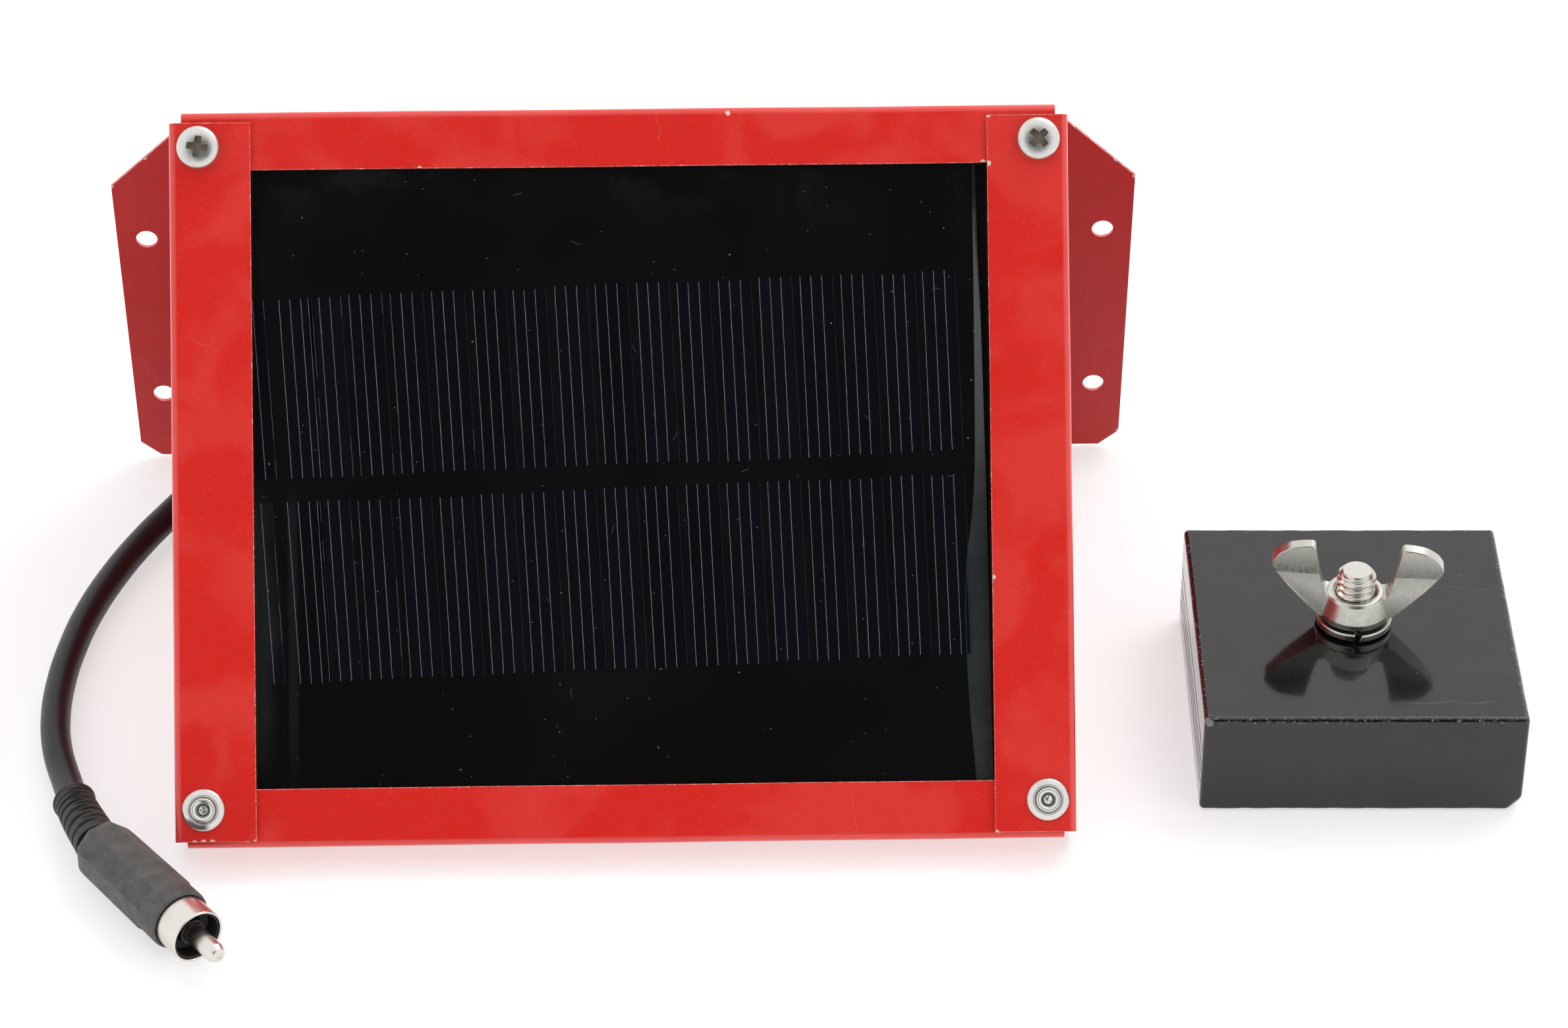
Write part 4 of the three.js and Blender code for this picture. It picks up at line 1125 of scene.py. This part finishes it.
# ---- Hood ----
def make_bracket(name, side):
    """One folded sheet: the flange under the frame, the cheek and the wall wing with its holes."""
    mid = HOOD_SHEET / 2
    cheek = CHEEK_OUTSIDE - mid
    r = BEND_RADIUS
    bm = bmesh.new()

    def vertex(place, u, v, w):
        return bm.verts.new(place @ Vector((side * u, v, w)))

    def bend(place, low, high, centre_w, start_angle, u_centre):
        """A quarter bend from the cheek outwards, as pairs of vertices at its two ends."""
        pairs = []
        for step in range(7):
            angle = start_angle + step * pi / 12
            u = u_centre + r * cos(angle)
            w = centre_w + r * sin(angle)
            pairs.append((vertex(place, u, low, w), vertex(place, u, high, w)))
        for (a, b), (c, d) in zip(pairs, pairs[1:]):
            bm.faces.new((a, b, d, c))
        return pairs

    flange_w = -0.3 - mid
    flange = bend(PANEL, FLANGE_FROM, FLANGE_TO, flange_w - r, 0, cheek - r)
    wing = bend(WALL, WING_FOOT, WING_HEIGHT, mid + r, pi, cheek + r)

    def plate(edge, corners, place, w, holes):
        outline = [edge[0], *(vertex(place, u, v, w) for u, v in corners), edge[1]]
        edges = [bm.edges.get(pair) or bm.edges.new(pair) for pair in zip(outline, outline[1:] + outline[:1])]
        for centre, radius in holes:
            rim, collar = ([vertex(place, p.x, p.y, w) for p in circle(reach, 40, centre)]
                           for reach in (radius, radius + 0.6))
            for i in range(40):
                bm.faces.new((rim[i - 1], rim[i], collar[i], collar[i - 1]))
                edges.append(bm.edges.get((collar[i - 1], collar[i])))
        bmesh.ops.triangle_fill(bm, use_beauty=True, use_dissolve=False, edges=edges)

    flange_in = CHEEK_OUTSIDE - FLANGE_WIDTH
    plate(flange[-1], [(flange_in, FLANGE_FROM), (flange_in, FLANGE_TO)], PANEL, flange_w,
          [(SCREW_PLACE, 2), (RIVET_PLACE, 2)])
    plate(wing[-1], [
        (WING_OUTSIDE - WING_BOTTOM_CHAMFER, WING_FOOT), (WING_OUTSIDE, WING_BOTTOM_CHAMFER),
        (WING_OUTSIDE, WING_HEIGHT - WING_TOP_CHAMFER), (WING_OUTSIDE - WING_TOP_CHAMFER, WING_HEIGHT),
    ], WALL, mid, [(hole, WING_HOLE_RADIUS) for hole in WING_HOLES])

    notch_from, notch_to, notch_height = CORD_NOTCH
    floor_points = [
        (notch_to, 0.2), (notch_to, notch_height - 2), (notch_to - 2, notch_height),
        (notch_from + 2, notch_height), (notch_from, notch_height - 2), (notch_from, 0.2), (4.7, 0.2),
    ]
    table_edge = [vertex(HEAD, cheek, y, z) for y, z in floor_points]
    bm.faces.new([flange[0][0], flange[0][1], wing[0][1], wing[0][0], *table_edge])
    folded_sheet(f"bracket_{name}_folded", bm, HOOD_SHEET, 0, [hood_paint_shaded, hood_edge_shaded],
                 f"hood_bracket_{name}", 0.00014)


def refine(node, name, material, width):
    """A copy of a CAD node with its flat faces merged and its edges rounded."""
    bm = bmesh.new()
    bm.from_mesh(frame["nodes"][node].data)
    bmesh.ops.remove_doubles(bm, verts=bm.verts, dist=1e-6)
    bmesh.ops.dissolve_limit(bm, angle_limit=radians(1), verts=bm.verts, edges=bm.edges)
    bevel(dress(to_object(name, bm), "head", [material], [node]), width, 2, 28)


make_bracket("left", -1)
make_bracket("right", 1)
refine("hood_shell", "hood_back_and_roof", hood_paint_shaded, 0.00015)
refine("vent_floor", "vent_floor_slotted", hood_paint_shaded, 0.00012)
refine("panel_gasket", "gasket_foam_strip", foam, 0.0003)
refine("panel_base", "panel_board", black_plastic, 0.0001)


# ---- Fan ----
FAN = WALL @ Matrix.Translation((0, FAN_CENTRE, 0))


def fan_corners():
    return [(x * FAN_SCREW_PLACE, y * FAN_SCREW_PLACE) for x in (-1, 1) for y in (-1, 1)]


def make_fan_housing():
    housing = to_object("fan_housing_square", prism(rounded_box(FAN_HALF, FAN_HALF, 3, 8), FAN_BACK, FAN_FRONT))
    waist = prism(rounded_box(FAN_HALF + 2, FAN_HALF + 2, 1, 8), FAN_BACK + 1.8, FAN_FRONT - 1.8)
    keep = to_object("keep", lathe([(19.7, FAN_BACK), (19.7, FAN_FRONT)], 96))
    waist = combine(to_object("waist", waist), keep, "DIFFERENCE")
    for x, y in fan_corners():
        waist = combine(waist, shifted(lathe([(3.1, FAN_BACK), (3.1, FAN_FRONT)], 32), x, y), "DIFFERENCE")
    housing = combine(housing, waist, "DIFFERENCE")
    housing = combine(housing, lathe([
        (19.3, FAN_BACK - 1), (19.3, FAN_BACK), (FAN_BORE, FAN_BACK + 1), (FAN_BORE, FAN_FRONT - 1.2),
        (19.4, FAN_FRONT), (19.4, FAN_FRONT + 1),
    ], 128), "DIFFERENCE")
    for x, y in fan_corners():
        housing = combine(housing, shifted(lathe([(1.9, 0), (1.9, 20)], 32), x, y), "DIFFERENCE")
    seat = [(1.5, FAN_BACK), (10.5, FAN_BACK), (10.5, FAN_BACK + 1.2), (1.5, FAN_BACK + 1.2)]
    housing = combine(housing, lathe(rounded(seat, 0.2, 3), 64, wrap=True), "UNION")
    for i in range(3):
        strut = block(-1.1, 1.1, 10, 19.4, FAN_BACK + 0.02, FAN_BACK + 1.18)
        housing = combine(housing, turned(strut, i * 2 * pi / 3), "UNION")
    dress(housing, "head", [black_plastic], ["fan_housing"], FAN, 30)
    bevel(housing, 0.00012, 2, 40)


def make_rotor():
    """Hub cap, seven cambered and twisted blades, and the shaft."""
    low = FAN_BACK + 1.6
    high = FAN_FRONT - 0.3
    hub = lathe(rounded([
        (0, high - 1.2), (8.7, high - 1.2), (8.7, low), (FAN_HUB, low), (FAN_HUB, high), (0, high),
    ], [0, 0.3, 0.1, 0.1, 0.8, 0], 5, closed=False), 96)
    rotor = to_object("rotor_with_blades", hub)
    rotor = combine(rotor, lathe([(0.9, FAN_BACK + 0.1), (0.9, high - 0.6)], 32), "UNION")
    middle = (low + high) / 2
    for i in range(FAN_BLADES):
        rings = []
        for radius in spaced(FAN_HUB - 1, FAN_TIP, 8):
            share = (radius - FAN_HUB) / (FAN_TIP - FAN_HUB)
            pitch = radians(52 - 16 * share)
            chord = 7.6 + 1.6 * share
            sweep = 0.16 * share
            upper, lower = [], []
            for s in spaced(-0.5, 0.5, 10):
                camber = 0.9 * (0.25 - s * s)
                half = 0.42 * sqrt(max(0.02, 0.25 - s * s)) + 0.05
                for line, offset in ((upper, camber + half), (lower, camber - half)):
                    tangent = s * chord * cos(pitch) - offset * sin(pitch)
                    rise = s * chord * sin(pitch) + offset * cos(pitch)
                    angle = tangent / radius + sweep
                    rise = max(low - middle + 0.1, min(high - middle - 0.1, rise))
                    line.append(Vector((radius * sin(angle), radius * cos(angle), middle + rise)))
            rings.append(upper + lower[::-1])
        rotor = combine(rotor, turned(skin(rings), i * 2 * pi / FAN_BLADES), "UNION")
    dress(rotor, "rotor", [black_plastic], ["fan_rotor"], FAN, 35)


def make_stator():
    """Four wound poles on a tube round the shaft."""
    low = FAN_BACK + 1.6
    high = FAN_FRONT - 2.3
    bm = lathe(rounded([(1.4, low), (3, low), (3, high), (1.4, high)], 0.2, 3), 48, wrap=True)
    for i in range(4):
        turn = Matrix.Rotation(i * pi / 2 + pi / 4, 4, "Z")
        rings = []
        for radius in spaced(2.6, 7.6, 8):
            half_width, share = (1.7, 0.96) if radius < 6.9 else (3.2, 0.8)
            ring = rounded_box(half_width, (high - low) / 2 * share, 0.7, 3)
            rings.append([turn @ Vector((radius, p[0], (low + high) / 2 + p[1])) for p in ring])
        loft(bm, rings)
    dress(to_object("stator_poles", bm), "head", [copper], ["fan_stator"], FAN, 40)


def make_guard():
    """Finger guard bent from round wire: three rings, four spokes and an eye at each corner."""
    wire = 0.6
    middle = FAN_FRONT + 0.3 + wire
    bm = bmesh.new()
    section = [(p.x, p.y) for p in circle(wire, 12)]

    def hoop(radius, steps, centre):
        rings = [[polar(radius + p, 2 * pi * i / steps, middle + q, centre) for p, q in section]
                 for i in range(steps)]
        loft(bm, rings, wrap=True)

    for radius in (5, 10.5, 16):
        hoop(radius, 72, (0, 0))
    for x, y in fan_corners():
        hoop(2.6, 40, (x, y))
        ahead = Vector((x, y, 0)).normalized()
        aside = Vector((-ahead.y, ahead.x, 0))
        rings = [[ahead * d + aside * p + Vector((0, 0, middle + q - wire * 0.3)) for p, q in section]
                 for d in (4.6, Vector((x, y)).length - 2.4)]
        loft(bm, rings)
    dress(to_object("guard_wire", bm), "head", [stainless], ["fan_guard"], FAN, 50)


def make_fan_screws():
    seat = FAN_FRONT + 1.6
    for i, (x, y) in enumerate(fan_corners()):
        make_screw(f"fan_screw_{i + 1}_phillips", (2.8, 1.8, 1.4, 0.36, 1.2), (1.5, 1.2, 0.7, -0.1 - seat),
                   f"fan_screw_{i + 1}", FAN @ Matrix.Translation((x, y, seat)), 0.7 * i)


make_fan_housing()
make_rotor()
make_stator()
make_guard()
make_fan_screws()


# ---- Junction box and inner leads ----
def make_junction_box():
    low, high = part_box("junction_box")
    lid_low, lid_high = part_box("junction_box_lid")
    wall = 1.4
    centre = (low + high) / 2
    half = (high - low) / 2 / MM
    place = Matrix.Translation((centre.x, centre.y, low.z)) @ Matrix.Scale(MM, 4)
    outline = rounded_box(half.x, half.y, 1.6, 6)
    height = (high.z - low.z) / MM
    tub = to_object("junction_tub", prism(outline, 0, height))
    inner = rounded_box(half.x - wall, half.y - wall, 0.8, 5)
    tub = combine(tub, prism(inner, wall, height + 1), "DIFFERENCE")
    dress(tub, "head", [black_plastic], ["junction_box"], place)
    bevel(tub, 0.00025, 3, 40)
    base = (lid_low.z - low.z) / MM
    top = (lid_high.z - low.z) / MM
    lid = to_object("junction_lid", prism(outline, base, top))
    for side in (-1, 1):
        profile = [(0, top - 0.7), (1.5, top - 0.7), (1.9, top + 0.1), (0, top + 0.1)]
        dimple = lathe(rounded(profile, 0.05, 2, closed=False), 40)
        lid = combine(lid, shifted(dimple, side * (half.x - 3.2), 0), "DIFFERENCE")
    dress(lid, "head", [black_plastic], ["junction_box_lid"], place)
    bevel(lid, 0.0003, 3, 40)


def make_gland():
    """Ribbed rubber gland, laid along -X at the box's side."""
    points = [(0, 0.05), (4.1, 0.05), (4.1, 1.2)]
    for rib in range(3):
        start = 1.2 + rib * 1.3
        radius = 3.7 - rib * 0.25
        groove = radius - 0.6
        points += [(groove, start + 0.1), (groove, start + 0.5), (radius, start + 0.6), (radius, start + 1.2)]
    points += [(2.8, 5.4), (2.6, 5.9), (0, 5.9)]
    low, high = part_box("cord_gland")
    place = Matrix.Translation((high.x, (low.y + high.y) / 2, (low.z + high.z) / 2)) @ Matrix.Scale(MM, 4)
    gland = to_object("gland_ribbed", lathe(rounded(points, 0.15, 3, closed=False), 64))
    dress(gland, "head", [lead_rubber], ["cord_gland"],
          place @ Matrix.Rotation(-pi / 2, 4, "Y"), 40)


make_junction_box()
make_gland()
cable("fan_lead_wire", FAN_LEAD_ROUTE, LEAD_DIAMETER, "fan_lead")
cable("panel_lead_wire", PANEL_LEAD_ROUTE, LEAD_DIAMETER, "panel_lead")


# ---- Clamp block ----
def everything(bm):
    return bm.verts[:] + bm.edges[:] + bm.faces[:]


def make_block():
    """A sawn plywood block under thick paint: soft uneven edges, ply lines and one knocked-off corner."""
    half = BLOCK_HALF
    middle = BLOCK_HEIGHT / 2
    bm = block(-half, half, -half, half, 0, BLOCK_HEIGHT)
    bmesh.ops.recalc_face_normals(bm, faces=bm.faces)
    bmesh.ops.bisect_plane(bm, geom=everything(bm), plane_co=Vector((half - 0.9, -half, 1.5)),
                           plane_no=Vector((0.85, -0.35, -0.75)).normalized(), clear_outer=True)
    bmesh.ops.holes_fill(bm, edges=bm.edges)
    made = to_object("block_painted", bm)
    made.modifiers.new("edges", "BEVEL").width = 0.75
    made.modifiers["edges"].segments = 4
    apply_modifiers(made)
    for radius, top in ((3.5, BLOCK_HEIGHT + 1), (8.2, 4.9)):
        combine(made, lathe([(radius, -1), (radius, top)], 64), "DIFFERENCE")
    for ply in PLY_LINES:
        for x in (-half, half):
            groove = block(x - PLY_DEPTH, x + PLY_DEPTH, 1.3 - half, half - 1.3, ply, ply + PLY_GAP)
            combine(made, groove, "DIFFERENCE")
    bm = bmesh.new()
    bm.from_mesh(made.data)
    long_edges = [e for e in bm.edges
                  if e.calc_length() > 30 and max(abs(v.co.z - middle) for v in e.verts) > middle - 1]
    bmesh.ops.subdivide_edges(bm, edges=long_edges, cuts=36, use_grid_fill=True)
    for vertex in bm.verts:
        near_rim = max(abs(vertex.co.x), abs(vertex.co.y)) > half - 0.8
        inside = min(vertex.co.z, BLOCK_HEIGHT - vertex.co.z) > 0.8
        if near_rim and not inside:
            push = 0.1 * (noise.noise(vertex.co * 0.35) + 0.5 * noise.noise(vertex.co * 1.3))
            inward = Vector((-vertex.co.x, -vertex.co.y, middle - vertex.co.z)).normalized()
            inward *= max(0, push + 0.05)
            for axis, centre, reach in ((0, 0, half), (1, 0, half), (2, middle, middle)):
                if abs(vertex.co[axis] - centre) > reach - 0.001:
                    inward[axis] = 0
            vertex.co += inward
    bm.to_mesh(made.data)
    bm.free()
    dress(made, "block", [block_black], ["clamp_block"], BLOCK, 50)
    smooth_flats(made)


def make_bolt():
    profile = rounded([
        (0, 1), (6.6, 1), (7.4, 1.9), (7.4, 4.6), (BOLT_RADIUS, 4.6), (BOLT_RADIUS, 17), (2.6, 17.2), (0, 17.2),
    ], [0, 1.2, 0.6, 0.1, 0.2, 0.1, 0.1, 0], 5, closed=False)
    bolt = to_object("bolt_carriage", lathe(profile, 96))
    bolt = combine(bolt, threaded(BOLT_RADIUS, 2.5, THREAD_PITCH, 17.1, BOLT_TOP, 64, 0.5), "UNION")
    dress(bolt, "block", [zinc], ["block_bolt"], BLOCK, 40)


def make_lock_washer():
    """Split spring washer: a square-section turn that rises a little, cut at the front."""
    inner, outer, half, middle = 3.5, 6.1, 0.62, 19.25
    section = rounded([(inner, -half), (outer, -half), (outer, half), (inner, half)], 0.28, 4)
    rings = []
    for t in spaced(0, 1, 96):
        skew = 0.06 if t in (0, 1) else 0
        angle = radians(-84.5 + 350 * t)
        rings.append([polar(r, angle + z * skew, middle + 0.2 * (t - 0.5) + z) for r, z in section])
    washer = to_object("washer_split", skin(rings))
    dress(washer, "washer", [zinc], ["lock_washer"], BLOCK, 40)
    bevel(washer, 0.00008, 2, 60)


def wing_shape():
    """One wing seen from the front, as (across, up) points from the hub outwards."""
    return rounded([
        (2.6, 0.5), (5.6, 0.7), (8.0, 2.8), (10.9, 5.6), (13.3, 8.5), (13.6, 9.7), (12.6, 11.3), (10.8, 12.5),
        (8.6, 12.9), (6.9, 13.0), (6.0, 8.2), (5.0, 4.2), (2.6, 3.7),
    ], [0, 1, 5, 6, 2, 0.8, 3, 4, 5, 0.7, 8, 1, 0], 10)


def make_wing_nut():
    """Cold-formed wing nut: a conical hub, and two wings that thicken below a crease."""
    hub = lathe(rounded([
        (0, 0), (5.45, 0), (5.7, 0.3), (5.65, 1.1), (4.75, 3.9), (4.35, 4.35), (0, 4.4),
    ], [0, 0.1, 0.25, 0.6, 0.5, 0.3, 0], 5, closed=False), 128)
    nut = to_object("wing_nut_formed", hub)
    for turn in (0, pi):
        rings = []
        for y, inset in ((-1.0, 0.12), (-0.9, 0), (0.9, 0), (1.0, 0.12)):
            points = [p + (Vector((8.6, 7.2)) - p).normalized() * inset for p in wing_shape()]
            rings.append([Vector((p.x, y, p.y)) for p in points])
        wing = skin(rings)
        bmesh.ops.bisect_plane(wing, geom=everything(wing), plane_co=(0, 0, NUT_CREASE), plane_no=(0, 0, 1))
        for vertex in wing.verts:
            spread = 0.06 * (13 - vertex.co.z) + 0.13 * max(0, NUT_CREASE - vertex.co.z)
            vertex.co.y += copysign(spread, vertex.co.y)
        nut = combine(nut, turned(wing, turn), "UNION")
    hole = lathe([(3.75, -1), (3.75, 0), (3.2, 0.5), (3.2, 3.9), (3.75, 4.4), (3.75, 20)], 96)
    nut = combine(nut, hole, "DIFFERENCE")
    bm = bmesh.new()
    bm.from_mesh(nut.data)
    bmesh.ops.remove_doubles(bm, verts=bm.verts, dist=0.004)
    bm.to_mesh(nut.data)
    bm.free()
    dress(nut, "nut", [satin_steel], ["wing_nut"],
          BLOCK @ Matrix.Translation((0, 0, NUT_SEAT)) @ Matrix.Rotation(NUT_TURN, 4, "Z"), 32)
    smooth_flats(nut)


make_block()
make_bolt()
make_lock_washer()
make_wing_nut()


# ---- Studio ----
def make_floor():
    bm = bmesh.new()
    bmesh.ops.create_grid(bm, x_segments=1, y_segments=1, size=4)
    floor = to_object("floor", bm)
    look = Look("floor_white", Roughness=0.9, Specular_IOR_Level=0.1, Emission_Color=(1, 1, 1),
                Emission_Strength=0.60)
    look.set("Base Color", look.mix(look.noise(400, 1), (0.45, 0.45, 0.455), (0.47, 0.47, 0.47)))
    floor.data.materials.append(look.material)
    floor.location.z = -0.0002


def make_world():
    """A white light tent with a dark opening in front."""
    world = bpy.data.worlds.new("studio")
    scene.world = world
    world.use_nodes = True
    nodes, links = world.node_tree.nodes, world.node_tree.links
    direction = nodes.new("ShaderNodeTexCoord").outputs["Generated"]
    toward = nodes.new("ShaderNodeVectorMath")
    toward.operation = "DOT_PRODUCT"
    links.new(direction, toward.inputs[0])
    toward.inputs[1].default_value = Vector((0.0, -0.80, 0.60)).normalized()
    opening = nodes.new("ShaderNodeMapRange")
    opening.interpolation_type = "SMOOTHSTEP"
    links.new(toward.outputs["Value"], opening.inputs["Value"])
    fade = {"From Min": cos(radians(30)), "From Max": cos(radians(17)), "To Min": 1.1, "To Max": 0.03}
    for socket, value in fade.items():
        opening.inputs[socket].default_value = value
    links.new(opening.outputs[0], nodes["Background"].inputs["Strength"])
    nodes["Background"].inputs["Color"].default_value = (1, 1, 1, 1)


def make_softbox(name, place, size, power):
    """A square lamp that faces the origin."""
    data = bpy.data.lights.new(name, "AREA")
    data.shape = "SQUARE"
    data.size = size
    data.energy = power
    lamp = add_object(name, data)
    lamp.location = place
    lamp.rotation_euler = (-Vector(place)).to_track_quat("-Z", "Y").to_euler()


make_floor()
make_world()
make_softbox("softbox_back_right", (0.7, 0.7, 1.3), 0.9, 9)
scene.view_settings.view_transform = "Standard"
